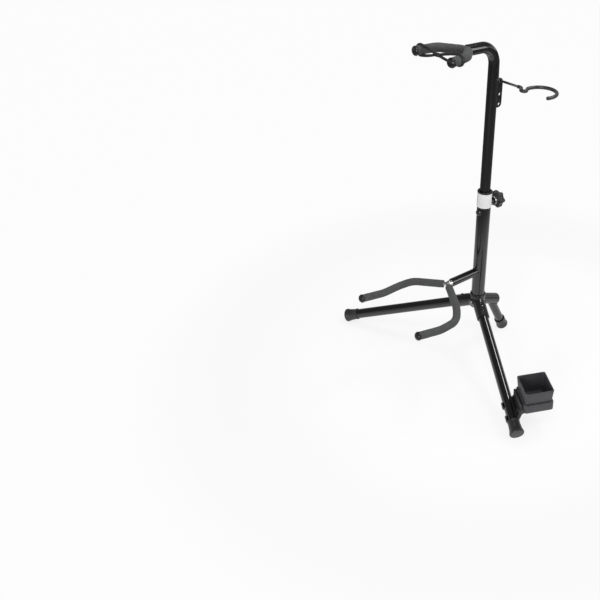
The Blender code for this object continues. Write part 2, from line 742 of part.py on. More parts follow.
def make_hook_tab(mast, base):
    """A plate on edge down the back of the upper tube, with three holes for the hook's wire."""
    inner = UPPER_TUBE_RADIUS + GAP
    outer = inner + TAB_WIDTH
    outline = [(inner, TAB_BOTTOM), (outer, TAB_BOTTOM), (outer, TAB_TOP), (inner, TAB_TOP)]
    plate = bmesh.new()
    corners = [plate.verts.new((-TAB_THICKNESS / 2, y, z)) for y, z in outline]
    plate.faces.new(corners)
    bmesh.ops.bevel(
        plate, geom=corners[1:3], offset=TAB_CORNER, segments=6, profile=0.5, affect="VERTICES"
    )
    face = plate.faces[:][0]
    extruded = bmesh.ops.extrude_face_region(plate, geom=[face])
    moved = [part for part in extruded["geom"] if isinstance(part, bmesh.types.BMVert)]
    bmesh.ops.translate(plate, verts=moved, vec=X * TAB_THICKNESS)
    bmesh.ops.recalc_face_normals(plate, faces=plate.faces)
    tab = piece("hook_tab", plate, "gloss_black", mast, base)
    for index in range(3):
        hole = rod(TAB_HOLE_RADIUS, -TAB_THICKNESS, TAB_THICKNESS, SMALL_SIDES)
        cut(tab, helper(f"tab_hole_{index + 1}", hole, mast, base @ aim(tab_hole(index), X)))


def hook_path():
    """The hook's wire from its upturned end to its far tip, about the tab's top hole, lying level."""
    lean_in = TAB_HOLE_OFFSET - HOOK_WIRE_RADIUS - 2 * GAP
    stop_x = -HOOK_STOP_OFFSET
    ring = Vector((HOOK_RING_CENTRE_X, HOOK_RING_CENTRE_Y, 0))
    corners = [
        Vector((stop_x / 4, -lean_in + sin(UPRIGHT_LEAN) * HOOK_STOP_LENGTH, HOOK_STOP_LENGTH)),
        Vector((stop_x, 0, 0)),
        Vector((HOOK_INNER_PRONG, 0, 0)),
        Vector((HOOK_INNER_PRONG + HOOK_PRONG_WIDTH, -HOOK_PRONG_TIP, 0)),
        Vector((HOOK_INNER_PRONG + 2 * HOOK_PRONG_WIDTH, -HOOK_PRONG_TIP * 0.85, 0)),
        ring - X * HOOK_RING_RADIUS,
    ]
    radii = [1.9 * HOOK_WIRE_RADIUS, 3 * HOOK_WIRE_RADIUS, 0.0034, 0.0030]
    path = bent_path(corners, radii)
    sweep = pi - HOOK_RING_END
    steps = ceil(sweep / BEND_STEP)
    for step in range(1, steps + 1):
        turn = pi - sweep * step / steps
        path.append(ring + Vector((cos(turn), sin(turn), 0)) * HOOK_RING_RADIUS)
    return path


def make_bow_hook(root, upright):
    """The wire hook through the tab's top hole, with a rubber sleeve over its prongs."""
    pivot = upright_matrix() @ tab_hole(2)
    axis = empty("hook_axis", Matrix.Translation(pivot), root)
    path = hook_path()
    wire = along_path(path, 0, HOOK_SLEEVE_END_WALL + GAP)
    piece("bow_hook_wire", swept(wire, HOOK_WIRE_RADIUS), "bright_steel", axis)
    lead = 0.0
    for a, b in zip(path, path[1:]):
        if b.x > HOOK_SLEEVE_START and b.z == 0:
            lead += (HOOK_SLEEVE_START - a.x)
            break
        lead += (b - a).length
    sleeve = along_path(path, lead, HOOK_SLEEVE_END_WALL)
    sleeve.append(path[-1])
    boot = swept_boot(sleeve, HOOK_SLEEVE_RADIUS, HOOK_WIRE_RADIUS + GAP)
    piece("bow_hook_sleeve", boot, "rubber", axis)


def end_cap(pad_radius, length):
    """A domed plastic cap about Z that closes a pad's end at Z = 0 and grips the rod inside it."""
    radius = pad_radius + CAP_OVERHANG
    bore = PAD_ROD_RADIUS + GAP
    return turned(
        (
            (0, CAP_SOCKET_DEPTH),
            (bore, CAP_SOCKET_DEPTH),
            (bore, GAP),
            (radius, GAP),
            (radius, length * 0.5),
            (radius * 0.87, length * 0.82),
            (radius * 0.6, length),
            (0, length),
        ),
        SMALL_SIDES,
    )


def yoke_path():
    """Centreline of the yoke: from its apex on the crook each side runs out, then forward to its tip."""
    tip = -YOKE_SETBACK - YOKE_ARM_LENGTH
    shoulder = -YOKE_SETBACK - YOKE_SHOULDER_FORWARD
    inset = 0.0
    for _ in range(APEX_PASSES):
        half_turn = atan2(YOKE_SHOULDER_FORWARD + inset, YOKE_SHOULDER_X)
        inset = YOKE_CENTRE_BEND * (1 / cos(half_turn) - 1)
    corners = (
        Vector((-YOKE_TIP_HALF_WIDTH, tip, CROOK_HEIGHT + YOKE_TIP_RISE)),
        Vector((-YOKE_SHOULDER_X, shoulder, CROOK_HEIGHT + YOKE_SHOULDER_RISE)),
        Vector((0, inset - YOKE_SETBACK, CROOK_HEIGHT)),
        Vector((YOKE_SHOULDER_X, shoulder, CROOK_HEIGHT + YOKE_SHOULDER_RISE)),
        Vector((YOKE_TIP_HALF_WIDTH, tip, CROOK_HEIGHT + YOKE_TIP_RISE)),
    )
    return bent_path(corners, (YOKE_SHOULDER_BEND, YOKE_CENTRE_BEND, YOKE_SHOULDER_BEND))


def cap_on(name, path, pad_radius, parent, base):
    """A cap on the end of a padded rod, facing along the path's last step."""
    end, before = path[-1], path[-2]
    piece(name, end_cap(pad_radius, CAP_LENGTH), "black_plastic", parent, base @ aim(end, end - before))


def make_yoke(mast, base):
    """The yoke's bent rod welded to the crook, its foam, the end caps and the strap between arms."""
    path = yoke_path()
    reach = CAP_SOCKET_DEPTH - GAP
    ends = [path[0] + (path[0] - path[1]).normalized() * reach]
    ends.append(path[-1] + (path[-1] - path[-2]).normalized() * reach)
    rod_path = [ends[0]] + path[1:-1] + [ends[1]]
    piece("yoke_rod", swept(rod_path, PAD_ROD_RADIUS), "dark_steel", mast, base)
    foam_mesh = swept_pipe(path, YOKE_PAD_RADIUS, PAD_ROD_RADIUS + GAP, 12)
    foam = piece("yoke_foam", foam_mesh, "foam", mast, base)
    notch = rod(UPPER_TUBE_RADIUS + GAP, YOKE_SETBACK / 2, YOKE_SETBACK - PAD_ROD_RADIUS, TUBE_SIDES)
    cut(foam, helper("yoke_foam_notch", notch, mast, base @ aim(Z * CROOK_HEIGHT, -Y)))
    cap_on("yoke_cap_left", path, YOKE_PAD_RADIUS, mast, base)
    cap_on("yoke_cap_right", path[::-1], YOKE_PAD_RADIUS, mast, base)
    make_strap(mast, base)


def strap_loop(side, arm_x, radius):
    """One half of the figure of eight: from the middle bead, round an arm and back."""
    reach = arm_x - STRAP_BEAD_LENGTH / 4
    slant = atan2(radius, sqrt(reach * reach - radius * radius))
    start = Vector((side * STRAP_BEAD_LENGTH / 4, 0, 0))
    centre = Vector((side * arm_x, 0, 0))
    points = [start]
    sweep = pi + 2 * slant
    steps = 16
    for step in range(steps + 1):
        turn = pi / 2 + slant - sweep * step / steps
        points.append(centre + Vector((side * cos(turn), 0, sin(turn))) * radius)
    return points


def make_strap(mast, base):
    """A rubber strap moulded as a figure of eight: a loop round each arm, joined in a bead."""
    tip = YOKE_SETBACK + YOKE_ARM_LENGTH
    inset = STRAP_FROM_TIP / (YOKE_ARM_LENGTH - YOKE_SHOULDER_FORWARD)
    arm_x = YOKE_TIP_HALF_WIDTH - (YOKE_TIP_HALF_WIDTH - YOKE_SHOULDER_X) * inset
    height = CROOK_HEIGHT + YOKE_TIP_RISE + (YOKE_SHOULDER_RISE - YOKE_TIP_RISE) * inset
    place = base @ Matrix.Translation(Vector((0, -tip + STRAP_FROM_TIP, height)))
    radius = YOKE_PAD_RADIUS + 2 * GAP + STRAP_CORD_RADIUS
    bead = turned(
        (
            (0, -STRAP_BEAD_LENGTH / 2),
            (STRAP_BEAD_RADIUS * 0.7, -STRAP_BEAD_LENGTH * 0.42),
            (STRAP_BEAD_RADIUS, -STRAP_BEAD_LENGTH * 0.2),
            (STRAP_BEAD_RADIUS, STRAP_BEAD_LENGTH * 0.2),
            (STRAP_BEAD_RADIUS * 0.7, STRAP_BEAD_LENGTH * 0.42),
            (0, STRAP_BEAD_LENGTH / 2),
        ),
        SMALL_SIDES,
    )
    bead.transform(Matrix.Rotation(pi / 2, 4, "Y"))
    strap = piece("security_strap", bead, "rubber", mast, place)
    for side, word in ((1, "left"), (-1, "right")):
        loop = strap_loop(side, arm_x, radius)
        rings = path_rings(closed_path(loop), STRAP_CORD_RADIUS, 8)
        join(strap, helper(f"strap_loop_{word}", skin(rings[1:-1], loop=True), mast, place))


def closed_path(points):
    """A loop's points with its last before its first, so that tangents run on at the join."""
    return [points[-1]] + points + [points[0]]


def stub_axis_direction():
    return Vector((0, -cos(CRADLE_STUB_RISE), sin(CRADLE_STUB_RISE)))


def cradle_junction():
    """Where the two arms leave the bare stem, in world axes from the stand's floor centre."""
    seat = Z * CRADLE_STUB_HEIGHT
    reach = CRADLE_STUB_REACH + CRADLE_STEM_BARE
    return upright_matrix() @ (seat + stub_axis_direction() * reach)


def cradle_arm(side):
    """Centreline of one arm: out and down from the stem, forward at its corner and up to its tip."""
    start = cradle_junction()
    shoulder = Vector((side * CRADLE_SHOULDER_X, -CRADLE_SHOULDER_FORWARD, -CRADLE_SHOULDER_DROP))
    corner = Vector((side * CRADLE_HALF_SPREAD, -CRADLE_CORNER_FORWARD, -CRADLE_CORNER_DROP))
    sway = Vector((side * CRADLE_SWAY_HALF_SPREAD, -CRADLE_SWAY_FORWARD, -CRADLE_SWAY_DROP))
    tip = Vector((side * CRADLE_TIP_HALF_SPREAD, -CRADLE_REACH, -CRADLE_TIP_DROP))
    return bent_path(
        (start, start + shoulder, start + corner, start + sway, start + tip),
        (CRADLE_SHOULDER_BEND, CRADLE_CORNER_BEND, CRADLE_SWAY_BEND),
    )


def make_cradle(root, upright):
    """The stub tube coped onto the lower tube, and the forked rod with a foam sleeve on each arm."""
    forward = aim(Z * CRADLE_STUB_HEIGHT, stub_axis_direction())
    bore = CRADLE_STUB_RADIUS - CRADLE_STUB_WALL
    stub_mesh = pipe(CRADLE_STUB_RADIUS, bore, 0, CRADLE_STUB_REACH)
    stub = piece("cradle_stub", stub_mesh, "gloss_black", upright, forward)
    tube_space = rod(LOWER_TUBE_RADIUS + GAP, 0, 2 * CRADLE_STUB_HEIGHT)
    cut(stub, helper("cradle_stub_cope", tube_space, upright))
    stem_start = CRADLE_STUB_REACH - CRADLE_STEM_INSERTION
    stem_end = CRADLE_STUB_REACH + CRADLE_STEM_BARE + PAD_ROD_RADIUS
    stem = rod(bore - GAP, stem_start, stem_end, SMALL_SIDES)
    fork = piece("cradle_fork", stem, "bright_steel", upright, forward)
    for side, word in ((1, "left"), (-1, "right")):
        path = cradle_arm(side)
        pad_end = path[-1]
        direction = (pad_end - path[-2]).normalized()
        rod_path = path[:-1] + [pad_end + direction * (CAP_SOCKET_DEPTH - GAP)]
        join(fork, helper(f"cradle_arm_{word}", swept(rod_path, PAD_ROD_RADIUS), root))
        foam_path = along_path(path, CRADLE_PAD_START)
        foam = swept_pipe(foam_path, CRADLE_PAD_RADIUS, PAD_ROD_RADIUS + GAP, 12)
        piece(f"cradle_foam_{word}", foam, "foam", root)
        cap_on(f"cradle_cap_{word}", path, CRADLE_PAD_RADIUS, root, Matrix.Identity(4))


def clip_reach():
    """Distance along the left leg from the hub centre to the middle of the clip, just above the foot."""
    return front_leg_end() - FOOT_LENGTH - CLIP_FOOT_GAP - CLIP_LENGTH / 2


def clip_matrix():
    """On the left leg's axis: X along the leg's plan direction, Y to its rear side and Z up."""
    forward = Vector((sin(LEG_AZIMUTH), -cos(LEG_AZIMUTH), 0))
    rear = Z.cross(forward)
    origin = hub_point() + leg_direction(1) * clip_reach()
    return Matrix.Translation(origin) @ Matrix((forward, rear, Z)).transposed().to_4x4()


def clip_face():
    """Distance from the leg's axis to the side of the cup that faces it."""
    return BOX_OFFSET - CUP_TOP_HALF_WIDTH - GAP


def clip_bracket(axis, along, level):
    """The bracket's L-shaped web, cut off along the leg's axis, with a plate up the cup's side."""
    outer = LEG_RADIUS + GAP + CLIP_WALL
    half = CLIP_LENGTH / 2
    face = clip_face()
    shelf_low = level - CLIP_SHELF_THICKNESS
    outline = (
        (CLIP_SADDLE_INNER, -outer * 2),
        (outer, -outer * 2),
        (outer, -half * sin(LEG_SLOPE)),
        (face + CLIP_PLATE_THICKNESS, shelf_low),
        (face + CLIP_SHELF_REACH, shelf_low),
        (face + CLIP_SHELF_REACH, level),
        (CLIP_SADDLE_INNER, level),
    )
    end_on = Matrix((Y, Z, X)).transposed().to_4x4()
    web_end = half * cos(LEG_SLOPE)
    web = piece("box_clip", prism(outline, -web_end, web_end), "black_plastic", axis)
    web.data.transform(end_on)
    below = block((-3 * outer, -3 * outer, -4 * half), (3 * outer, 0, 4 * half))
    cut(web, helper("clip_underside", below, axis, along))
    plate_low = level - CLIP_SHELF_THICKNESS / 2
    plate = block(
        (-web_end + GAP, face - CLIP_PLATE_THICKNESS, plate_low),
        (CLIP_PLATE_END, face, level + CLIP_PLATE_HEIGHT),
    )
    join(web, helper("clip_plate", plate, axis))
    return web


def make_box_clip(axis):
    """A C clamp over the leg with two jaw fingers, under the bracket that carries the box."""
    along = aim(Vector((0, 0, 0)), Vector((cos(LEG_SLOPE), 0, -sin(LEG_SLOPE))))
    outer = LEG_RADIUS + GAP + CLIP_WALL
    half = CLIP_LENGTH / 2
    level = BOX_LEVEL - clip_matrix().translation.z - GAP
    clip = clip_bracket(axis, along, level)
    join(clip, helper("clip_clamp", rod(outer, -half, half), axis, along))
    front_face = clip_face()
    shelf_low = level - CLIP_SHELF_THICKNESS
    end_on = Matrix((Y, Z, X)).transposed().to_4x4()
    for number in (-1, 1):
        reach = front_face + CLIP_SHELF_REACH * 0.85
        outline = ((outer * 0.6, -outer * 0.3), (front_face, -outer * 0.3))
        outline += ((reach, shelf_low + GAP), (outer * 0.6, shelf_low + GAP))
        gusset = prism(outline, -CLIP_GUSSET_THICKNESS / 2, CLIP_GUSSET_THICKNESS / 2)
        place = Matrix.Translation(X * number * CLIP_GUSSET_SPACING / 2) @ end_on
        join(clip, helper(f"clip_gusset_{(number + 3) // 2}", gusset, axis, place))
    leg_space = rod(LEG_RADIUS + GAP, -CLIP_LENGTH, CLIP_LENGTH)
    mouth = block((-CLIP_JAW_GAP / 2, -2 * outer, -CLIP_LENGTH), (CLIP_JAW_GAP / 2, 0, CLIP_LENGTH))
    mouth_place = along @ Matrix.Rotation(CLIP_MOUTH_TURN, 4, "Z")
    cut(
        clip,
        helper("clip_leg_space", leg_space, axis, along),
        helper("clip_mouth", mouth, axis, mouth_place),
    )
    finger_ends = (half - CLIP_FINGER_LENGTH, half - CLIP_FINGER_LENGTH - CLIP_FINGER_SPACING)
    windows = (
        (finger_ends[1] + CLIP_FINGER_LENGTH, finger_ends[0]),
        (-half - CLIP_LENGTH, finger_ends[1]),
    )
    for number, (low, high) in enumerate(windows, 1):
        window = block((-2 * outer, -2 * outer, low), (0, 2 * outer, high))
        cut(clip, helper(f"clip_window_{number}", window, axis, along))


def make_bow_box(root):
    """The clip, the tray on its shelf and the cup that lifts out of the tray."""
    axis = empty("clip_axis", clip_matrix(), root)
    make_box_clip(axis)
    base = BOX_LEVEL - clip_matrix().translation.z
    place = Matrix.Translation(Vector((BOX_ALONG, BOX_OFFSET, base)))
    inner_low = CUP_BOTTOM_HALF_WIDTH + GAP
    slope = (CUP_TOP_HALF_WIDTH - CUP_BOTTOM_HALF_WIDTH) / CUP_HEIGHT
    inner_high = inner_low + slope * (TRAY_HEIGHT - TRAY_FLOOR)
    outer = inner_high + TRAY_WALL

    def square(half, corner, height):
        return rounded_rectangle(half, half, corner, height)

    tray_mesh = skin(
        (
            square(outer - TRAY_WALL / 3, TRAY_CORNER, 0),
            square(outer, TRAY_CORNER, TRAY_WALL / 2),
            square(outer, TRAY_CORNER, TRAY_HEIGHT - TRAY_WALL / 3),
            square(outer - TRAY_WALL / 3, TRAY_CORNER, TRAY_HEIGHT),
            square(inner_high, CUP_CORNER + GAP, TRAY_HEIGHT),
            square(inner_low, CUP_CORNER + GAP, TRAY_FLOOR),
        )
    )
    tray = piece("box_tray", tray_mesh, "grey_plastic", axis, place)
    opening = block(
        (-2 * outer, -2 * outer, -TRAY_HEIGHT),
        (CLIP_PLATE_END - BOX_ALONG + GAP, -CUP_TOP_HALF_WIDTH, TRAY_HEIGHT * 2),
    )
    cut(tray, helper("tray_front_opening", opening, axis, place))
    lift = empty("cup_axis", place @ Matrix.Translation(Z * (TRAY_FLOOR + GAP)), axis)
    top, bottom = CUP_TOP_HALF_WIDTH, CUP_BOTTOM_HALF_WIDTH
    cup_mesh = skin(
        (
            square(bottom - CUP_WALL / 3, CUP_CORNER, 0),
            square(bottom, CUP_CORNER, CUP_WALL / 3),
            square(top, CUP_CORNER, CUP_HEIGHT - CUP_WALL / 3),
            square(top - CUP_WALL / 4, CUP_CORNER, CUP_HEIGHT),
            square(top - CUP_WALL * 0.75, CUP_CORNER - CUP_WALL / 3, CUP_HEIGHT),
            square(top - CUP_WALL, CUP_CORNER - CUP_WALL / 3, CUP_HEIGHT - CUP_WALL / 4),
            square(bottom + slope * CUP_FLOOR - CUP_WALL, CUP_CORNER - CUP_WALL / 3, CUP_FLOOR),
        )
    )
    piece("bow_cup", cup_mesh, "grey_plastic", lift)


def world_corners():
    """Lowest and highest corner of every piece, as it is after its modifiers."""
    graph = bpy.context.evaluated_depsgraph_get()
    points = []
    for obj in bpy.data.objects:
        if obj.type == "MESH" and not obj.hide_render:
            shaped = obj.evaluated_get(graph)
            mesh = shaped.to_mesh()
            points += [shaped.matrix_world @ vertex.co for vertex in mesh.vertices]
            shaped.to_mesh_clear()
    low = Vector([min(point[axis] for point in points) for axis in range(3)])
    high = Vector([max(point[axis] for point in points) for axis in range(3)])
    return low, high


def centre_on_floor(root):
    """Moves the whole stand so that its origin is below the middle of its outline, on the floor."""
    bpy.context.view_layer.update()
    low, high = world_corners()
    root.location = -(low + high) / 2 * Vector((1, 1, 0))
    root.location.z = 0


def main():
    clear_scene()
    root = empty("stand")
    upright = empty("upright_axis", upright_matrix(), root)
    ground = ground_cutter(root)
    make_hub(root, upright)
    make_rear_leg(root, upright, ground)
    for word, side in (("left", 1), ("right", -1)):
        make_front_leg(word, side, root, ground)
    make_lower_tube(upright)
    make_band(upright)
    make_knob(upright)
    mast, base = make_upper_tube(upright)
    make_hook_tab(mast, base)
    make_yoke(mast, base)
    make_bow_hook(root, upright)
    make_cradle(root, upright)
    make_bow_box(root)
    centre_on_floor(root)


main()
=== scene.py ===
"""Looks of the violin stand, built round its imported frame.

Every finish, foam sleeve, rubber piece, weld and fastener is made here, in metres and in the
frame's own axes. Places come from the frame's joints, and sizes are fields of the class that
makes the piece.
"""

import json
import logging
from collections.abc import Callable, Sequence
from dataclasses import dataclass
from enum import Enum
from math import atan2, ceil, cos, pi, radians, sin, sqrt, tan

import bmesh
import bpy
from mathutils import Matrix, Vector


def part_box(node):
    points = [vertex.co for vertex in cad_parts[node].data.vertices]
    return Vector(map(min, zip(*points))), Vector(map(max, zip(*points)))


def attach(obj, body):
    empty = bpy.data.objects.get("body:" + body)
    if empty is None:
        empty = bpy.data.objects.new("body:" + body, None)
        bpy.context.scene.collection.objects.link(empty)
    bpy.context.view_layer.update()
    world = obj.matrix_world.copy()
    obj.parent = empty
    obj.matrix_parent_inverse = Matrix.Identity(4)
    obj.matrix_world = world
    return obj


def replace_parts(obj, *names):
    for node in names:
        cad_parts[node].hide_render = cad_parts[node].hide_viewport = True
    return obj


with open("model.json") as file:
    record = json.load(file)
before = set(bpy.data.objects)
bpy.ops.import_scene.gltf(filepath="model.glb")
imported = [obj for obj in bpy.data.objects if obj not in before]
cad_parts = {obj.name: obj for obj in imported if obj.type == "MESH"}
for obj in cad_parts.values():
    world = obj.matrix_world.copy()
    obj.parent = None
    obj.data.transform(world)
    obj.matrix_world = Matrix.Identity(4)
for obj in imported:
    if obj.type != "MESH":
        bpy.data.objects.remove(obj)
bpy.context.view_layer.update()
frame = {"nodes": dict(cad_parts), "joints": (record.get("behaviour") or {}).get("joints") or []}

LOG = logging.getLogger("violin_stand")
MM = 0.001
SEAT_GAP = 0.0003
WHITE = (1.0, 1.0, 1.0, 1.0)
X_AXIS, Y_AXIS, Z_AXIS = Vector((1, 0, 0)), Vector((0, 1, 0)), Vector((0, 0, 1))
Colour = tuple[float, float, float]
Profile = Sequence[tuple[float, float]]
Path = list[Vector]


class Side(Enum):
    """The stand's own sides, by the sign of X."""

    LEFT = 1
    RIGHT = -1

    @property
    def word(self) -> str:
        """The side's word in a piece's name."""
        return self.name.lower()


class Slot(Enum):
    """The record's material slots."""

    TUBE = "tube_black"
    FASTENER = "fastener_black"
    COLLAR = "collar_black"
    BAND = "band_white"
    FOAM = "foam"
    CAP = "cap_rubber"
    STRAP = "strap_rubber"
    FOOT = "foot_rubber"
    KNOB = "knob_plastic"
    BOX = "box_plastic"
    HOOK = "hook_steel"
    ROD = "rod_steel"
    SCREW = "screw_steel"


class Body(Enum):
    """The frame's bodies, which the pieces ride on."""

    BASE = "base"
    MAST = "mast"
    HOOK = "bow_hook"
    KNOB = "knob"
    LEFT_LEG = "left_leg_body"
    RIGHT_LEG = "right_leg_body"
    CLIP = "clip"
    CUP = "cup"


class Value:
    """A number on a shader socket, with Python's operators written as Math nodes."""

    def __init__(self, graph: "Graph", socket: bpy.types.NodeSocket) -> None:
        """Wraps one output socket of a graph."""
        self.graph = graph
        self.socket = socket

    def _math(self, operation: str, first: "Value | float", second: "Value | float") -> "Value":
        """Adds one Math node."""
        return self.graph.value("ShaderNodeMath", {"operation": operation}, {0: first, 1: second})

    def __add__(self, other: "Value | float") -> "Value":
        """self + other."""
        return self._math("ADD", self, other)

    def __radd__(self, other: float) -> "Value":
        """other + self."""
        return self._math("ADD", other, self)

    def __sub__(self, other: "Value | float") -> "Value":
        """self - other."""
        return self._math("SUBTRACT", self, other)

    def __rsub__(self, other: float) -> "Value":
        """other - self."""
        return self._math("SUBTRACT", other, self)

    def __mul__(self, other: "Value | float") -> "Value":
        """self * other."""
        return self._math("MULTIPLY", self, other)

    def __rmul__(self, other: float) -> "Value":
        """other * self."""
        return self._math("MULTIPLY", other, self)

    def step(self, low: float, high: float) -> "Value":
        """A smooth step from 0 at low to 1 at high.

        Args:
            low: the value where the step starts.
            high: the value where it ends. It may lie below low, for a falling step.

        Returns:
            The stepped value, between 0 and 1.
        """
        ends = (0.0, 1.0) if low < high else (1.0, 0.0)
        return self.ranged(ends, (min(low, high), max(low, high)), "SMOOTHSTEP")

    def ranged(
        self,
        results: tuple["Value | float", "Value | float"],
        limits: tuple[float, float] = (0.0, 1.0),
        kind: str = "LINEAR",
    ) -> "Value":
        """The value carried from one range to another.

        Args:
            results: what it gives at each limit.
            limits: the values where the range starts and ends.
            kind: how it goes from one to the other.

        Returns:
            The carried value.
        """
        inputs = {"Value": self, "From Min": limits[0], "From Max": limits[1]}
        inputs |= {"To Min": results[0], "To Max": results[1]}
        return self.graph.value("ShaderNodeMapRange", {"interpolation_type": kind}, inputs)


class Graph:
    """A shader tree, written with values and named sockets."""

    def __init__(self, tree: bpy.types.NodeTree) -> None:
        """Wraps a shader tree."""
        self.tree = tree

    def feed(self, socket: bpy.types.NodeSocket, item: object) -> None:
        """Links a value to a socket, or sets the socket's own number.

        Args:
            socket: the socket.
            item: a value to link, or a number, colour or vector to set, or None to leave it.
        """
        if isinstance(item, Value):
            self.tree.links.new(item.socket, socket)
        elif item is not None:
            socket.default_value = item

    def value(self, kind: str, settings: dict, inputs: dict, output: int | str = 0) -> Value:
        """Adds one node.

        Args:
            kind: the node's type.
            settings: its properties, set before its sockets.
            inputs: values or links by socket name or index.
            output: the output socket to wrap.

        Returns:
            That output as a value.
        """
        made = self.tree.nodes.new(kind)
        for key, setting in settings.items():
            setattr(made, key, setting)
        for key, item in inputs.items():
            self.feed(made.inputs[key], item)
        return Value(self, made.outputs[output])

    def ray(self, kind: str) -> Value:
        """1 on rays of a kind, such as Camera or Glossy, and 0 on others."""
        return self.value("ShaderNodeLightPath", {}, {}, f"Is {kind} Ray")

    def place(self, stretch: Sequence[float] = (1.0, 1.0, 1.0)) -> Value:
        """Object coordinates, stretched along the axes."""
        where = self.value("ShaderNodeTexCoord", {}, {}, "Object")
        return self.value("ShaderNodeMapping", {}, {"Vector": where, "Scale": tuple(stretch)})

    def noise(
        self, size: float, detail: float = 3.0, stretch: Sequence[float] = (1, 1, 1)
    ) -> Value:
        """Soft noise.

        Args:
            size: the size of its blobs, in metres.
            detail: how many finer layers lie on it.
            stretch: a factor for each axis on its coordinates.

        Returns:
            The noise, about 0.5.
        """
        inputs = {"Vector": self.place(stretch), "Scale": 1.0 / size, "Detail": detail}
        return self.value("ShaderNodeTexNoise", {}, inputs)

    def cells(self, size: float) -> Value:
        """Distance within cells of that size, from 0 at each cell's middle."""
        inputs = {"Vector": self.place(), "Scale": 1.0 / size}
        return self.value("ShaderNodeTexVoronoi", {"feature": "F1"}, inputs, "Distance")

    def blend(self, factor: Value, low: "Colour | Value", high: "Colour | Value") -> Value:
        """A colour between two others.

        Args:
            factor: 0 for the first colour, 1 for the second.
            low: the first colour.
            high: the second colour.

        Returns:
            The mixed colour.
        """
        ends = [item if isinstance(item, Value) else (*item, 1.0) for item in (low, high)]
        inputs = {0: factor, 6: ends[0], 7: ends[1]}
        return self.value("ShaderNodeMix", {"data_type": "RGBA"}, inputs, 2)

    def along(self, origin: Vector, axis: Vector) -> Value:
        """Distance of a point along an axis from its origin, in metres.

        Args:
            origin: where the distance is 0.
            axis: the direction that it grows in.

        Returns:
            The distance.
        """
        where = self.value("ShaderNodeTexCoord", {}, {}, "Object")
        inputs = {0: where, 1: tuple(origin)}
        offset = self.value("ShaderNodeVectorMath", {"operation": "SUBTRACT"}, inputs)
        inputs = {0: offset, 1: tuple(axis.normalized())}
        return self.value("ShaderNodeVectorMath", {"operation": "DOT_PRODUCT"}, inputs, "Value")

    def bump(self, height: Value, depth: float, strength: float, edge: float = 0.0) -> Value:
        """A bumped normal.

        Args:
            height: the surface's height, from 0 to 1.
            depth: the height's real size, in metres.
            strength: how much of it shows.
            edge: the radius that sharp edges are rounded to, or 0 for none.

        Returns:
            The normal.
        """
        inputs = {"Height": height, "Distance": depth, "Strength": strength}
        if edge:
            inputs["Normal"] = self.value("ShaderNodeBevel", {"samples": 6}, {"Radius": edge})
        return self.value("ShaderNodeBump", {}, inputs)


class MaterialGraph(Graph):
    """The tree of one material, round its Principled shader."""

    def __init__(self, name: str) -> None:
        """Starts a material with a Principled shader.

        Args:
            name: the material's name.
        """
        self.material = bpy.data.materials.new(name)
        self.material.use_nodes = True
        super().__init__(self.material.node_tree)
        self.shader = self.tree.nodes["Principled BSDF"]

    def dress(self, **sockets: object) -> None:
        """Feeds the Principled shader's sockets, named with underscores for spaces.

        Args:
            sockets: values or links by socket name.
        """
        by_name = {socket.name.lower().replace(" ", "_"): socket for socket in self.shader.inputs}
        for key, item in sockets.items():
            self.feed(by_name[key], item)


@dataclass(frozen=True)
class Finish:
    """One surface finish, made into a material the first time that a piece asks for it."""

    label: str
    slot: Slot
    colour: Colour
    roughness: float

    def material(self) -> bpy.types.Material:
        """The finish's material, made once.

        Returns:
            The material.
        """
        found = bpy.data.materials.get(self.label)
        if found:
            return found
        graph = MaterialGraph(self.label)
        graph.dress(base_color=(*self.colour, 1.0), roughness=self.roughness)
        self.paint(graph)
        return graph.material

    def paint(self, graph: MaterialGraph) -> None:
        """Adds the finish's own detail to a graph."""

    def tint(self, factor: float) -> Colour:
        """The finish's colour, lighter or darker by a factor."""
        return tuple(channel * factor for channel in self.colour)


@dataclass(frozen=True)
class Enamel(Finish):
    """Baked gloss enamel on steel: a faint orange peel, dust specks and fine handling marks."""

    peel: float = 2.6 * MM
    speck: float = 0.34 * MM
    edge: float = 0.35 * MM
    shine: float = 0.78

    def paint(self, graph: MaterialGraph) -> None:
        """Adds the peel, specks and marks.

        Args:
            graph: the material's graph.
        """
        peel = graph.noise(self.peel, 2.0)
        flow = graph.noise(self.peel * 9, 2.0)
        specks = graph.noise(self.speck, 1.0).step(0.70, 0.78)
        marks = graph.noise(self.peel * 2, 5.0, (1.0, 1.0, 0.12)).step(0.62, 0.74)
        colour = graph.blend(specks * 0.10, self.colour, (0.32, 0.31, 0.29))
        colour = graph.blend(marks * 0.04, colour, (0.22, 0.22, 0.22))
        rough = (flow - 0.5) * 0.06 + self.roughness + marks * 0.06 + specks * 0.15
        graph.dress(base_color=colour, roughness=rough, specular_ior_level=self.shine)
        graph.dress(normal=graph.bump(peel * 0.6 + flow * 0.4, 0.08 * MM, 0.14, self.edge))


@dataclass(frozen=True)
class SlidingEnamel(Enamel):
    """Enamel on the sliding tube, with fine rub lines where the bushing grips it."""

    origin: tuple[float, float, float] = (0.0, 0.0, 0.0)
    axis: tuple[float, float, float] = (0.0, 0.0, 1.0)
    rub_low: float = 0.190
    rub_high: float = 0.275

    def paint(self, graph: MaterialGraph) -> None:
        """Adds the rub lines over the enamel.

        Args:
            graph: the material's graph.
        """
        super().paint(graph)
        height = graph.along(Vector(self.origin), Vector(self.axis))
        above = height.step(self.rub_low - 10 * MM, self.rub_low)
        zone = above * height.step(self.rub_high, self.rub_low)
        lines = graph.noise(0.9 * MM, 4.0, (1.0, 1.0, 0.02)).step(0.52, 0.66)
        rough = zone * lines * 0.22 + self.roughness + (graph.noise(20 * MM) - 0.5) * 0.08
        graph.dress(roughness=rough)


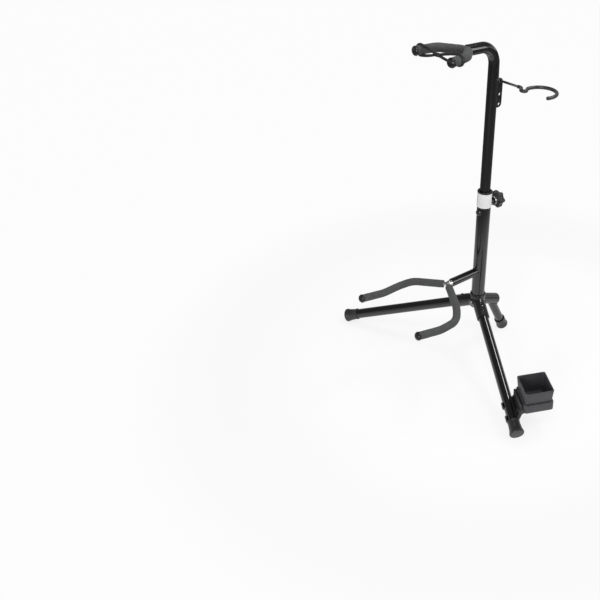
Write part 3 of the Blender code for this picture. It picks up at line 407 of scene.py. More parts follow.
@dataclass(frozen=True)
class Foam(Finish):
    """Closed-cell foam sleeve: matte charcoal with open pores, painted shade in the deepest of
    them, and a soft mottle.
    """

    pore: float = 0.62 * MM
    mottle: float = 7.0 * MM

    def paint(self, graph: MaterialGraph) -> None:
        """Adds pores, grain and mottle, and paints shade into the deepest pores.

        Args:
            graph: the material's graph.
        """
        pores = graph.cells(self.pore)
        pit_depth_and_shade = graph.cells(self.pore * 2.3).step(0.30, 0.10)
        grain = graph.noise(self.pore * 0.6, 4.0)
        mottle = graph.noise(self.mottle, 3.0)
        shade = (mottle - 0.5) * 0.8 + (grain - 0.5) * 0.7 + 0.5
        colour = graph.blend(shade, self.tint(0.66), self.tint(1.38))
        # The deepest pores are darkened in colour: painted shade in these hollows, which the bump
        # also sinks.
        colour = graph.blend(pit_depth_and_shade * 0.45, colour, self.tint(0.35))
        height = (1.0 - pores) * 0.5 + grain * 0.4 - pit_depth_and_shade * 0.7
        rough = (grain - 0.5) * 0.12 + self.roughness
        graph.dress(base_color=colour, roughness=rough, sheen_weight=0.12, sheen_roughness=0.45)
        graph.dress(normal=graph.bump(height, 0.28 * MM, 0.75))


@dataclass(frozen=True)
class Rubber(Finish):
    """Moulded rubber: satin, with a fine tooth, a light bloom and scuffs."""

    tooth: float = 0.30 * MM
    edge: float = 0.30 * MM

    def paint(self, graph: MaterialGraph) -> None:
        """Adds the tooth, bloom and scuffs.

        Args:
            graph: the material's graph.
        """
        tooth = graph.noise(self.tooth, 3.0)
        bloom = graph.noise(9 * MM, 4.0)
        scuffs = graph.noise(3.2 * MM, 6.0, (1.0, 0.3, 1.0)).step(0.60, 0.72)
        colour = graph.blend(bloom.step(0.35, 0.75), self.tint(0.80), self.tint(1.30))
        colour = graph.blend(scuffs * 0.16, colour, (0.16, 0.16, 0.16))
        rough = (bloom - 0.5) * 0.16 + self.roughness + scuffs * 0.12
        graph.dress(base_color=colour, roughness=rough)
        graph.dress(normal=graph.bump(tooth + bloom * 0.5, 0.10 * MM, 0.45, self.edge))


@dataclass(frozen=True)
class MouldedPlastic(Finish):
    """Injection-moulded plastic with a spark-eroded grain and polished high spots."""

    grain: float = 0.26 * MM
    edge: float = 0.35 * MM

    def paint(self, graph: MaterialGraph) -> None:
        """Adds the grain, flow clouds and rubbed spots.

        Args:
            graph: the material's graph.
        """
        grain = graph.noise(self.grain, 4.0)
        clouds = graph.noise(14 * MM, 3.0)
        rubs = graph.noise(4 * MM, 6.0, (1.0, 1.0, 0.4)).step(0.60, 0.76)
        colour = graph.blend(clouds.step(0.3, 0.7), self.tint(0.86), self.tint(1.18))
        colour = graph.blend(rubs * 0.12, colour, (0.20, 0.20, 0.21))
        rough = (grain - 0.5) * 0.18 + self.roughness - rubs * 0.10
        graph.dress(base_color=colour, roughness=rough)
        graph.dress(normal=graph.bump(grain, 0.09 * MM, 0.55, self.edge))


@dataclass(frozen=True)
class Steel(Finish):
    """Bare or plated steel with drawing lines along it and faint tarnish."""

    lines: float = 0.35 * MM
    tarnish: float = 0.25
    edge: float = 0.20 * MM

    def paint(self, graph: MaterialGraph) -> None:
        """Adds the lines and the tarnish.

        Args:
            graph: the material's graph.
        """
        lines = graph.noise(self.lines, 3.0, (0.08, 1.0, 1.0))
        spots = graph.noise(2.6 * MM, 5.0).step(0.52, 0.74)
        colour = graph.blend(spots * self.tarnish, self.colour, self.tint(0.42))
        rough = (lines - 0.5) * 0.22 + self.roughness + spots * 0.18
        graph.dress(base_color=colour, roughness=rough, metallic=1.0)
        graph.dress(normal=graph.bump(lines, 0.05 * MM, 0.35, self.edge))


@dataclass(frozen=True)
class WrapFilm(Finish):
    """Glossy white film round the tube: faint ripples, painted shade darkening both edges with
    dirt at the lower one, and fine scratches.
    """

    origin: tuple[float, float, float] = (0.0, 0.0, 0.0)
    axis: tuple[float, float, float] = (0.0, 0.0, 1.0)
    low: float = 0.16
    high: float = 0.19

    def paint(self, graph: MaterialGraph) -> None:
        """Adds ripples, painted edge shade with dirt at the lower edge, and scratches.

        Args:
            graph: the material's graph.
        """
        height = graph.along(Vector(self.origin), Vector(self.axis))
        lower = height.step(self.low + 1.6 * MM, self.low)
        upper = height.step(self.high - 1.2 * MM, self.high)
        cloud = graph.noise(2.4 * MM, 4.0)
        # Both edges darkened and mottled by the cloud: painted shade along the band's edges, with
        # dirt at the lower one.
        edge_shade_and_grime = (lower + upper) * cloud
        scratch = graph.noise(0.8 * MM, 5.0, (0.3, 1.0, 2.2)).step(0.66, 0.74)
        colour = graph.blend(edge_shade_and_grime * 0.55, self.colour, (0.42, 0.42, 0.44))
        colour = graph.blend(scratch * 0.10, colour, (0.55, 0.55, 0.56))
        ripple = graph.noise(6 * MM, 2.0)
        rough = (cloud - 0.5) * 0.12 + self.roughness + scratch * 0.15
        graph.dress(base_color=colour, roughness=rough, coat_weight=0.5, coat_roughness=0.08)
        graph.dress(normal=graph.bump(ripple, 0.12 * MM, 0.35))


@dataclass(frozen=True)
class Layout:
    """Where the stand's axes lie, read from the frame's joints."""

    hub: Vector
    up: Vector
    left: Vector
    right: Vector
    knob: Vector
    knob_out: Vector
    hook: Vector
    clip: Vector

    @classmethod
    def from_joints(cls, joints: list[dict]) -> "Layout":
        """Reads the axes.

        Args:
            joints: the frame's joints.

        Returns:
            The layout. The hub's centre is where the left leg's axis meets the middle plane.
        """
        axis = {joint["name"]: Vector(joint["axis"]).normalized() for joint in joints}
        spot = {joint["name"]: Vector(joint["pos_m"]) for joint in joints if "pos_m" in joint}
        left, clip, knob = axis["left_leg_pull"], spot["clip_turn"], spot["knob_turn"]
        hub = clip - left * ((clip.x - knob.x) / left.x)
        right = axis["right_leg_pull"]
        outward = axis["knob_turn"]
        return cls(hub, axis["mast_slide"], left, right, knob, outward, spot["hook_fold"], clip)

    def upright(self) -> Matrix:
        """The upright's frame: origin at the hub, Z up along the tube and Y to the rear.

        Returns:
            The frame's matrix.
        """
        rear = self.up.cross(X_AXIS)
        turn = Matrix((X_AXIS, rear, self.up)).transposed()
        return Matrix.Translation(self.hub) @ turn.to_4x4()


def aim(point: Vector, direction: Vector) -> Matrix:
    """A place at a point whose Z runs along a direction, with Y leaning upwards.

    Args:
        point: the origin.
        direction: where Z points. If that is straight up or down, Y leans to the rear.

    Returns:
        The matrix.
    """
    nearly_parallel = 0.999
    forward = direction.normalized()
    up = Y_AXIS if abs(forward.dot(Z_AXIS)) > nearly_parallel else Z_AXIS
    side = up.cross(forward).normalized()
    turn = Matrix((side, forward.cross(side), forward)).transposed()
    return Matrix.Translation(point) @ turn.to_4x4()


def bearing(azimuth: float, elevation: float) -> Vector:
    """The direction from the stand at an azimuth, 0 in front of it, and an elevation."""
    level = cos(elevation)
    return Vector((sin(azimuth) * level, -cos(azimuth) * level, sin(elevation)))


def even_turns(count: int) -> list[float]:
    """Angles that share out a full turn."""
    return [2 * pi * i / count for i in range(count)]


def spoke(turn: float, radius: float = 1.0, height: float = 0.0) -> Vector:
    """The point at a turn about Z, a radius out and a height up."""
    return Vector((radius * cos(turn), radius * sin(turn), height))


def loft(rings: list[Path], closed: bool = False) -> bmesh.types.BMesh:
    """Skins a row of rings.

    Args:
        rings: rings of equal length, where a ring of one point is a pole.
        closed: whether the last ring joins the first. If not, open ends are filled.

    Returns:
        The mesh, with its faces outwards.
    """
    made = bmesh.new()
    rows = [[made.verts.new(point) for point in ring] for ring in rings]
    pairs = list(zip(rows, rows[1:]))
    if closed:
        pairs.append((rows[-1], rows[0]))
    for low, high in pairs:
        count = max(len(low), len(high))
        for i in range(count):
            j = (i + 1) % count
            if len(low) == 1:
                made.faces.new((low[0], high[j], high[i]))
            elif len(high) == 1:
                made.faces.new((low[i], low[j], high[0]))
            else:
                made.faces.new((low[i], low[j], high[j], high[i]))
    if not closed:
        for row in (rows[0], rows[-1]):
            if len(row) > 2:
                made.faces.new(row)
    bmesh.ops.recalc_face_normals(made, faces=made.faces)
    return made


def soften(profile: Profile, radius: float, steps: int = 4) -> Profile:
    """Rounds each inner corner of a profile.

    Args:
        profile: corners as pairs of numbers.
        radius: how far from a corner its round starts, limited by the sides' half lengths.
        steps: points along each round.

    Returns:
        The rounded profile's points.
    """
    most = 0.48
    corners = [Vector(corner) for corner in profile]
    points = [corners[0]]
    for before, corner, after in zip(corners, corners[1:], corners[2:]):
        start = corner.lerp(before, min(most, radius / (before - corner).length))
        end = corner.lerp(after, min(most, radius / (after - corner).length))
        for step in range(steps + 1):
            t = step / steps
            points.append(start.lerp(corner, t).lerp(corner.lerp(end, t), t))
    points.append(corners[-1])
    return [tuple(point) for point in points]


def revolve(profile: Profile, sides: int) -> bmesh.types.BMesh:
    """Turns a profile of radius and height about Z.

    Args:
        profile: pairs that start and end on the axis, or close on themselves.
        sides: facets round the axis.

    Returns:
        The turned mesh.
    """
    on_axis = 1e-7
    rings = []
    for radius, height in profile:
        if radius < on_axis:
            rings.append([Z_AXIS * height])
        else:
            rings.append([spoke(turn, radius, height) for turn in even_turns(sides)])
    return loft(rings, closed=len(rings[0]) > 1)


def arc_path(corners: Sequence[Vector], radii: Sequence[float], step: float = radians(3)) -> Path:
    """Straight runs joined by arcs.

    Args:
        corners: the path's corners.
        radii: the bend's radius at each inner corner.
        step: the turn between points on a bend.

    Returns:
        The path's points.
    """
    points = [Vector(corners[0])]
    for before, corner, after, radius in zip(corners, corners[1:], corners[2:], radii):
        inward = (corner - before).normalized()
        outward = (after - corner).normalized()
        turn = inward.angle(outward)
        start = corner - inward * radius * tan(turn / 2)
        side = (outward - inward * inward.dot(outward)).normalized()
        count = max(3, ceil(turn / step))
        for i in range(count + 1):
            angle = turn * i / count
            points.append(start + inward * radius * sin(angle) + side * radius * (1 - cos(angle)))
    points.append(Vector(corners[-1]))
    return points


def path_length(path: Path) -> float:
    """The length of a path."""
    return sum((b - a).length for a, b in zip(path, path[1:]))


def stretch_of(path: Path, start: float, end_trim: float = 0.0) -> Path:
    """The stretch of a path from a distance along it to a distance short of its end.

    Args:
        path: the path.
        start: how far along it the stretch starts.
        end_trim: how far short of the path's end it stops.

    Returns:
        The stretch's points.
    """
    stop = path_length(path) - end_trim
    points, travelled = [], 0.0
    for a, b in zip(path, path[1:]):
        length = (b - a).length
        low, high = max(start, travelled), min(stop, travelled + length)
        if low < high:
            if not points:
                points.append(a.lerp(b, (low - travelled) / length))
            points.append(a.lerp(b, (high - travelled) / length))
        travelled += length
    return points


def even_path(path: Path, spacing: float) -> Path:
    """The same path with its points about evenly spaced.

    Args:
        path: the path.
        spacing: about how far apart the points are to lie.

    Returns:
        The evenly spaced points, with the path's own two ends.
    """
    total = path_length(path)
    count = max(2, round(total / spacing))
    inner = [point_at(path, total * i / count) for i in range(1, count)]
    return [Vector(path[0]), *inner, Vector(path[-1])]


def carried_rings(path: Path, radius: Callable[[float], float], sides: int) -> list[Path]:
    """Circles square to a path, carried along it without twist.

    Args:
        path: the path's points.
        radius: the circle's radius at a distance along the path.
        sides: points in a circle.

    Returns:
        The circles.
    """
    before, after = [path[0], *path[:-1]], [*path[1:], path[-1]]
    side = (path[1] - path[0]).normalized().orthogonal().normalized()
    rings, travelled = [], 0.0
    for last, point, following in zip(before, path, after):
        travelled += (point - last).length
        tangent = (following - last).normalized()
        side = (side - tangent * side.dot(tangent)).normalized()
        other = tangent.cross(side)
        reach = radius(travelled)
        turns = even_turns(sides)
        rings.append([point + (side * cos(t) + other * sin(t)) * reach for t in turns])
    return rings


def rounded_sweep(
    path: Path, radius: float, ends: tuple[float, float], sides: int = 32
) -> bmesh.types.BMesh:
    """A solid rod or sleeve along a path, with rounded ends.

    Args:
        path: the centreline.
        radius: its radius.
        ends: how far each end's edge is rounded.
        sides: facets round it.

    Returns:
        The mesh.
    """
    steps, clear_of_ends = 5, 1.02
    total = path_length(path)
    start, end = ends
    eased = [1 - cos(pi / 2 * i / steps) for i in range(1, steps + 1)]
    stations = [0.0, *(start * share for share in eased if start)]
    travelled = 0.0
    for a, b in zip(path, path[1:]):
        travelled += (b - a).length
        if start * clear_of_ends < travelled < total - end * clear_of_ends:
            stations.append(travelled)
    stations += [*(total - end * share for share in eased[::-1] if end), total]
    points = [point_at(path, station) for station in stations]

    def reach(at: float) -> float:
        """The radius at a distance along the path."""
        inset = 0.0
        if start and at < start:
            inset = start - sqrt(max(0.0, start**2 - (start - at) ** 2))
        if end and at > total - end:
            short = at - (total - end)
            inset = end - sqrt(max(0.0, end**2 - short**2))
        return radius - inset

    return loft(carried_rings(points, reach, sides))


def point_at(path: Path, distance: float) -> Vector:
    """The point at a distance along a path.

    Args:
        path: the path.
        distance: how far along it the point lies.

    Returns:
        The point, or the path's end if the distance is longer.
    """
    for a, b in zip(path, path[1:]):
        length = (b - a).length
        if distance <= length or b is path[-1]:
            return a.lerp(b, min(1.0, distance / length))
        distance -= length
    return Vector(path[-1])


def swept_tube(path: Path, radius: float, wall: float, sides: int = 64) -> bmesh.types.BMesh:
    """An open tube along a path, with its rims rounded over.

    Args:
        path: the centreline.
        radius: the outer radius.
        wall: the wall's thickness.
        sides: facets round it.

    Returns:
        The mesh.
    """
    rim = wall * 0.4
    end = path_length(path) - rim
    inner = [point_at(path, rim), *stretch_of(path, rim, rim)[1:-1], point_at(path, end)]
    outer_rings = carried_rings(inner, lambda at: radius, sides)
    bore_rings = carried_rings(inner, lambda at: radius - wall, sides)
    lips = []
    for reach in (radius - rim, radius - wall + rim):
        first = carried_rings([path[0], inner[0]], lambda at: reach, sides)[0]
        share = reach / radius
        last = [path[-1] + (point - inner[-1]) * share for point in outer_rings[-1]]
        lips.append((first, last))
    (start_lip, end_lip), (start_bore, end_bore) = lips
    outer = [start_lip, *outer_rings, end_lip]
    bore = [end_bore, *bore_rings[::-1], start_bore]
    return loft(outer + bore, closed=True)


def rounded_square(half: float, corner: float, height: float, steps: int = 8) -> Path:
    """A square outline with rounded corners, level at a height.

    Args:
        half: half of the square's side.
        corner: the radius of its corners.
        height: the height that it lies at.
        steps: points along each corner, less one.

    Returns:
        The outline's points.
    """
    points = []
    for quarter in range(4):
        turn = pi / 2 * quarter
        centre = Vector((half - corner, half - corner, 0))
        centre.rotate(Matrix.Rotation(turn, 3, "Z"))
        for step in range(steps + 1):
            points.append(centre + spoke(turn + pi / 2 * step / steps, corner, height))
    return points


def linked(name: str, data: bpy.types.ID) -> bpy.types.Object:
    """A new object of some data, put in the scene.

    Args:
        name: the object's name.
        data: its mesh, lamp or camera.

    Returns:
        The object.
    """
    made = bpy.data.objects.new(name, data)
    bpy.context.scene.collection.objects.link(made)
    return made


def written(name: str, shape: bmesh.types.BMesh) -> bpy.types.Mesh:
    """A new mesh of a shape, which is then freed.

    Args:
        name: the mesh's name.
        shape: the shape.

    Returns:
        The mesh.
    """
    data = bpy.data.meshes.new(name)
    shape.to_mesh(data)
    shape.free()
    return data


def absorb(whole: bmesh.types.BMesh, part: bmesh.types.BMesh) -> None:
    """Adds a shape to another, and frees it.

    Args:
        whole: the shape that grows.
        part: the shape that it takes in.
    """
    data = written("absorbed", part)
    whole.from_mesh(data)
    bpy.data.meshes.remove(data)


def finished(
    name: str, shape: bmesh.types.BMesh, place: Matrix, finish: Finish, body: Body
) -> bpy.types.Object:
    """Makes a piece whose place is in its mesh, dresses it and lets it ride.

    Args:
        name: the piece's name.
        shape: its shape in the frame of place.
        place: where that frame lies.
        finish: its finish.
        body: the body that it rides on.

    Returns:
        The piece.
    """
    shape.transform(place)
    return handed_over(linked(name, written(name, shape)), finish, body)


def handed_over(made: bpy.types.Object, finish: Finish, body: Body) -> bpy.types.Object:
    """Shades a piece, gives it its finish and lets it ride on a body.

    Args:
        made: the piece.
        finish: its finish.
        body: the body that it rides on.

    Returns:
        The same piece.
    """
    sharp_angle = radians(40)
    made.data.materials.clear()
    made.data.materials.append(finish.material())
    made.data.shade_smooth()
    made.data.set_sharp_from_angle(angle=sharp_angle)
    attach(made, body.value)
    LOG.info("%s: %d faces on %s", made.name, len(made.data.polygons), body.value)
    return made


def settled(source: bpy.types.Object, name: str) -> bpy.types.Object:
    """Turns an object with modifiers into a plain one, and removes the source.

    Args:
        source: the object with modifiers.
        name: the plain object's name.

    Returns:
        The plain object.
    """
    bpy.context.view_layer.update()
    graph = bpy.context.evaluated_depsgraph_get()
    data = bpy.data.meshes.new_from_object(source.evaluated_get(graph))
    bpy.data.objects.remove(source, do_unlink=True)
    data.name = name
    return linked(name, data)


def refined(
    node: str, name: str, finish: Finish, body: Body, edge: float = 0.3 * MM
) -> bpy.types.Object:
    """A merged copy of a CAD node with its edges eased, which stands for it.

    Args:
        node: the CAD node.
        name: the piece's name.
        finish: its finish.
        body: the body that it rides on.
        edge: the width that its edges are eased by.

    Returns:
        The piece.
    """
    same_spot, same_plane, eased_corner = 2e-6, radians(0.6), radians(32)
    shape = bmesh.new()
    shape.from_mesh(frame["nodes"][node].data)
    bmesh.ops.remove_doubles(shape, verts=shape.verts, dist=same_spot)
    bmesh.ops.dissolve_limit(
        shape, angle_limit=same_plane, verts=shape.verts, edges=shape.edges, delimit={"NORMAL"}
    )
    source = linked(name + "_source", written(name, shape))
    bevel = source.modifiers.new("eased", "BEVEL")
    bevel.width = edge
    bevel.segments = 2
    bevel.limit_method = "ANGLE"
    bevel.angle_limit = eased_corner
    made = handed_over(settled(source, name), finish, body)
    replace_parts(made, node)
    return made


class Recipe:
    """A Geometry Nodes tree with named inputs that ends in plain geometry of one material."""

    def __init__(self, name: str) -> None:
        """Starts a tree that takes a mesh and gives a mesh.

        Args:
            name: the tree's name.
        """
        self.tree = bpy.data.node_groups.new(name, "GeometryNodeTree")
        for way in ("INPUT", "OUTPUT"):
            sockets = self.tree.interface
            sockets.new_socket("Geometry", in_out=way, socket_type="NodeSocketGeometry")
        self.start = self.tree.nodes.new("NodeGroupInput")
        self.given = self.start.outputs["Geometry"]
        self.identifiers: dict[str, str] = {}

    def size(self, name: str, kind: str = "NodeSocketFloat") -> bpy.types.NodeSocket:
        """Adds a named input and gives the socket to link from.

        Args:
            name: the input's name.
            kind: the type of its socket.

        Returns:
            The socket inside the tree.
        """
        made = self.tree.interface.new_socket(name, in_out="INPUT", socket_type=kind)
        self.identifiers[name] = made.identifier
        return self.start.outputs[name]

    def node(self, kind: str, settings: dict, inputs: dict) -> bpy.types.Node:
        """Adds one node.

        Args:
            kind: the node's type.
            settings: its properties.
            inputs: sockets or values by socket name or index, or a list of them for one socket.

        Returns:
            The node.
        """
        made = self.tree.nodes.new(kind)
        for key, setting in settings.items():
            setattr(made, key, setting)
        for key, given in inputs.items():
            for item in given if isinstance(given, list) else [given]:
                if isinstance(item, bpy.types.NodeSocket):
                    self.tree.links.new(item, made.inputs[key])
                else:
                    made.inputs[key].default_value = item
        return made

    def result(self, kind: str, settings: dict, inputs: dict) -> bpy.types.NodeSocket:
        """The first output of a node that is added as node() does."""
        return self.node(kind, settings, inputs).outputs[0]

    def math(self, operation: str, first: object, second: object) -> bpy.types.NodeSocket:
        """The result of a Math node on two values."""
        return self.result("ShaderNodeMath", {"operation": operation}, {0: first, 1: second})

    def close(self, geometry: bpy.types.NodeSocket) -> "Recipe":
        """Ends the tree in Realize Instances and Set Material.

        Args:
            geometry: what the tree has made.

        Returns:
            The recipe.
        """
        real = self.result("GeometryNodeRealizeInstances", {}, {"Geometry": geometry})
        inputs = {"Geometry": real, "Material": self.size("Material", "NodeSocketMaterial")}
        dressed = self.result("GeometryNodeSetMaterial", {}, inputs)
        self.node("NodeGroupOutput", {}, {0: dressed})
        return self

    def run(
        self, name: str, source: bmesh.types.BMesh, sizes: dict, finish: Finish
    ) -> bpy.types.Object:
        """Runs the tree on a mesh.

        Args:
            name: the new object's name.
            source: the mesh that the tree starts from.
            sizes: values for the named inputs.
            finish: the finish of what it makes.

        Returns:
            A plain mesh object.
        """
        holder = linked(name + "_source", written(name + "_source", source))
        modifier = holder.modifiers.new("recipe", "NODES")
        modifier.node_group = self.tree
        for key, item in sizes.items():
            modifier[self.identifiers[key]] = item
        modifier[self.identifiers["Material"]] = finish.material()
        holder.update_tag()
        return settled(holder, name)


def weld_recipe() -> Recipe:
    """A weld bead: overlapping drops of metal along a line, each a little different.

    Returns:
        The recipe, with the drop's radius, the spacing and the seed as its sizes.
    """
    recipe = Recipe("weld_bead")
    drop, spacing = recipe.size("Drop radius"), recipe.size("Spacing")
    seed = recipe.size("Seed", "NodeSocketInt")
    line = recipe.result("GeometryNodeMeshToCurve", {}, {"Mesh": recipe.given})
    inputs = {"Curve": line, "Length": spacing}
    points = recipe.result("GeometryNodeResampleCurve", {"mode": "LENGTH"}, inputs)
    ball = recipe.result("GeometryNodeMeshIcoSphere", {}, {"Radius": drop, "Subdivisions": 2})
    tangent = recipe.result("GeometryNodeInputTangent", {}, {})
    turn = recipe.result("FunctionNodeAlignRotationToVector", {"axis": "Z"}, {"Vector": tangent})
    smallest, largest = (0.82, 0.82, 0.62), (1.12, 1.12, 0.86)
    inputs = {0: smallest, 1: largest, "Seed": seed}
    size = recipe.result("FunctionNodeRandomValue", {"data_type": "FLOAT_VECTOR"}, inputs)
    inputs = {"Points": points, "Instance": ball, "Rotation": turn, "Scale": size}
    return recipe.close(recipe.result("GeometryNodeInstanceOnPoints", {}, inputs))


def foam_recipe() -> Recipe:
    """A foam skin: the sleeve's surface, moved in and out by soft lumps and fine pores.

    Returns:
        The recipe, with the height and number of lumps and of pores as its sizes.
    """
    recipe = Recipe("foam_skin")
    lump, lump_size = recipe.size("Lump height"), recipe.size("Lumps per metre")
    pore, pore_size = recipe.size("Pore depth"), recipe.size("Pores per metre")
    unmoved_noise = 0.62
    offsets = []
    for height, scale, detail in ((lump, lump_size, 2.0), (pore, pore_size, 0.0)):
        noise = recipe.result("ShaderNodeTexNoise", {}, {"Scale": scale, "Detail": detail})
        centred = recipe.math("SUBTRACT", noise, unmoved_noise)
        offsets.append(recipe.math("MULTIPLY", centred, height))
    normal = recipe.result("GeometryNodeInputNormal", {}, {})
    inputs = {0: normal, "Scale": recipe.math("ADD", *offsets)}
    push = recipe.result("ShaderNodeVectorMath", {"operation": "SCALE"}, inputs)
    inputs = {"Geometry": recipe.given, "Offset": push}
    return recipe.close(recipe.result("GeometryNodeSetPosition", {}, inputs))


def thread_recipe() -> Recipe:
    """A screw thread: a wire of small section wound on the shank.

    Returns:
        The recipe, with the shank's and crest's radii, the length and the turns as its sizes.
    """
    recipe = Recipe("screw_thread")
    radius, crest = recipe.size("Shank radius"), recipe.size("Crest radius")
    length, turns = recipe.size("Length"), recipe.size("Turns")
    inputs = {"Rotations": turns, "Start Radius": radius, "End Radius": radius, "Height": length}
    spiral = recipe.result("GeometryNodeCurveSpiral", {}, inputs | {"Resolution": 28})
    inputs = {"Radius": crest, "Resolution": 6}
    section = recipe.result("GeometryNodeCurvePrimitiveCircle", {}, inputs)
    inputs = {"Curve": spiral, "Profile Curve": section, "Fill Caps": True}
    wire = recipe.result("GeometryNodeCurveToMesh", {}, inputs)
    return recipe.close(recipe.result("GeometryNodeJoinGeometry", {}, {0: [recipe.given, wire]}))


def line_mesh(points: Path, closed: bool) -> bmesh.types.BMesh:
    """A mesh of edges only, through points.

    Args:
        points: the points.
        closed: whether the last point joins the first.

    Returns:
        The mesh.
    """
    made = bmesh.new()
    verts = [made.verts.new(point) for point in points]
    for a, b in zip(verts, verts[1:] + verts[:1] if closed else verts[1:]):
        made.edges.new((a, b))
    return made


def saddle(
    main: Matrix, main_radius: float, branch: Matrix, branch_radius: float, count: int = 72
) -> Path:
    """The line where one tube meets the side of another.

    Args:
        main: the larger tube's frame, Z along it.
        main_radius: its radius.
        branch: the smaller tube's frame, Z out of the larger.
        branch_radius: its radius.
        count: points on the line.

    Returns:
        The line's points.
    """
    inside = main.inverted() @ branch
    direction = inside.to_3x3() @ Z_AXIS
    points = []
    for turn in even_turns(count):
        start = inside @ spoke(turn, branch_radius)
        a = direction.x**2 + direction.y**2
        b = start.x * direction.x + start.y * direction.y
        c = start.x**2 + start.y**2 - main_radius**2
        inner = b * b - a * c
        if inner >= 0:
            points.append(main @ (start + direction * ((-b + sqrt(inner)) / a)))
    return points


class Workshop:
    """What every sub-assembly needs: the layout, the finishes and the shared recipes."""

    def __init__(self, layout: Layout) -> None:
        """Mixes the finishes for a layout and builds the recipes.

        Args:
            layout: the stand's layout.
        """
        self.layout = layout
        self.welds = weld_recipe()
        self.foams = foam_recipe()
        self.threads = thread_recipe()
        self.mix_enamels()
        self.mix_plastics()
        self.mix_rubbers()
        self.mix_metals()

    def tube_axis(self) -> dict[str, tuple]:
        """The upright's axis, for the finishes that follow it."""
        return {"origin": tuple(self.layout.hub), "axis": tuple(self.layout.up)}

    def mix_enamels(self) -> None:
        """The black enamels, glossiest on the tubes."""
        black = (0.0050, 0.0050, 0.0054)
        cast, weld, rivet = (0.010, 0.010, 0.0105), (0.008, 0.008, 0.0085), (0.008, 0.008, 0.008)
        axis = self.tube_axis()
        self.enamel = Enamel("gloss_black_enamel", Slot.TUBE, black, 0.11)
        self.sliding = SlidingEnamel("sliding_black_enamel", Slot.TUBE, black, 0.11, **axis)
        self.cast = Enamel("hub_black_enamel", Slot.TUBE, cast, 0.20)
        self.weld = Enamel("weld_under_enamel", Slot.TUBE, weld, 0.20, edge=0.0)
        self.rivet = Enamel("rivet_black_enamel", Slot.FASTENER, rivet, 0.15)

    def mix_plastics(self) -> None:
        """The moulded plastics and the band's film."""
        collar, knob = (0.010, 0.010, 0.011), (0.020, 0.020, 0.022)
        box, clip, film = (0.047, 0.047, 0.052), (0.014, 0.014, 0.015), (0.86, 0.86, 0.87)
        self.collar = MouldedPlastic("collar_black_nylon", Slot.COLLAR, collar, 0.22)
        self.knob = MouldedPlastic("knob_charcoal_plastic", Slot.KNOB, knob, 0.40)
        self.box = MouldedPlastic("box_charcoal_plastic", Slot.BOX, box, 0.46)
        self.clip = MouldedPlastic("clip_black_plastic", Slot.BOX, clip, 0.38)
        self.film = WrapFilm("white_wrap_film", Slot.BAND, film, 0.28, **self.tube_axis())

    def mix_rubbers(self) -> None:
        """The foam and the rubbers."""
        cap, strap = (0.014, 0.014, 0.015), (0.020, 0.020, 0.021)
        boot, sleeve = (0.021, 0.021, 0.022), (0.040, 0.040, 0.041)
        self.foam = Foam("charcoal_foam", Slot.FOAM, (0.063, 0.064, 0.066), 0.86)
        self.cap = Rubber("cap_black_rubber", Slot.CAP, cap, 0.24)
        self.strap = Rubber("strap_black_rubber", Slot.STRAP, strap, 0.42)
        self.boot = Rubber("boot_black_rubber", Slot.FOOT, boot, 0.42)
        self.sleeve = Rubber("hook_sleeve_rubber", Slot.CAP, sleeve, 0.34)

    def mix_metals(self) -> None:
        """The bare and plated steels."""
        self.bright = Steel("bright_drawn_steel", Slot.HOOK, (0.46, 0.46, 0.45), 0.24)
        self.head = Steel("worn_rivet_steel", Slot.FASTENER, (0.26, 0.26, 0.25), 0.34)
        self.rod = Steel("plain_rod_steel", Slot.ROD, (0.60, 0.60, 0.58), 0.24)
        self.screw = Steel("zinc_screw_steel", Slot.SCREW, (0.58, 0.58, 0.56), 0.30)

    def bead(
        self, name: str, line: Path, drop: float, body: Body, closed: bool = True
    ) -> bpy.types.Object:
        """A weld bead along a line.

        Args:
            name: the bead's name.
            line: the joint's points.
            drop: the radius of a drop.
            body: the body that it rides on.
            closed: whether the line is a loop.

        Returns:
            The bead.
        """
        overlapping = 0.78
        sizes = {"Drop radius": drop, "Spacing": drop * overlapping, "Seed": len(name)}
        made = self.welds.run(name, line_mesh(line, closed), sizes, self.weld)
        return handed_over(made, self.weld, body)

    def sleeve_of(
        self, name: str, path: Path, radius: float, body: Body, node: str
    ) -> bpy.types.Object:
        """A foam sleeve along a path, which stands for a CAD node.

        Args:
            name: the sleeve's name.
            path: its centreline.
            radius: its outer radius.
            body: the body that it rides on.
            node: the CAD node.

        Returns:
            The sleeve.
        """
        ring_spacing, cut_edges = 0.55 * MM, (0.9 * MM, 0.7 * MM)
        skin = rounded_sweep(even_path(path, ring_spacing), radius, cut_edges, 60)
        sizes = {"Lump height": 0.55 * MM, "Lumps per metre": 210.0}
        sizes |= {"Pore depth": 0.16 * MM, "Pores per metre": 1250.0}
        made = handed_over(self.foams.run(name, skin, sizes, self.foam), self.foam, body)
        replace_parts(made, node)
        return made


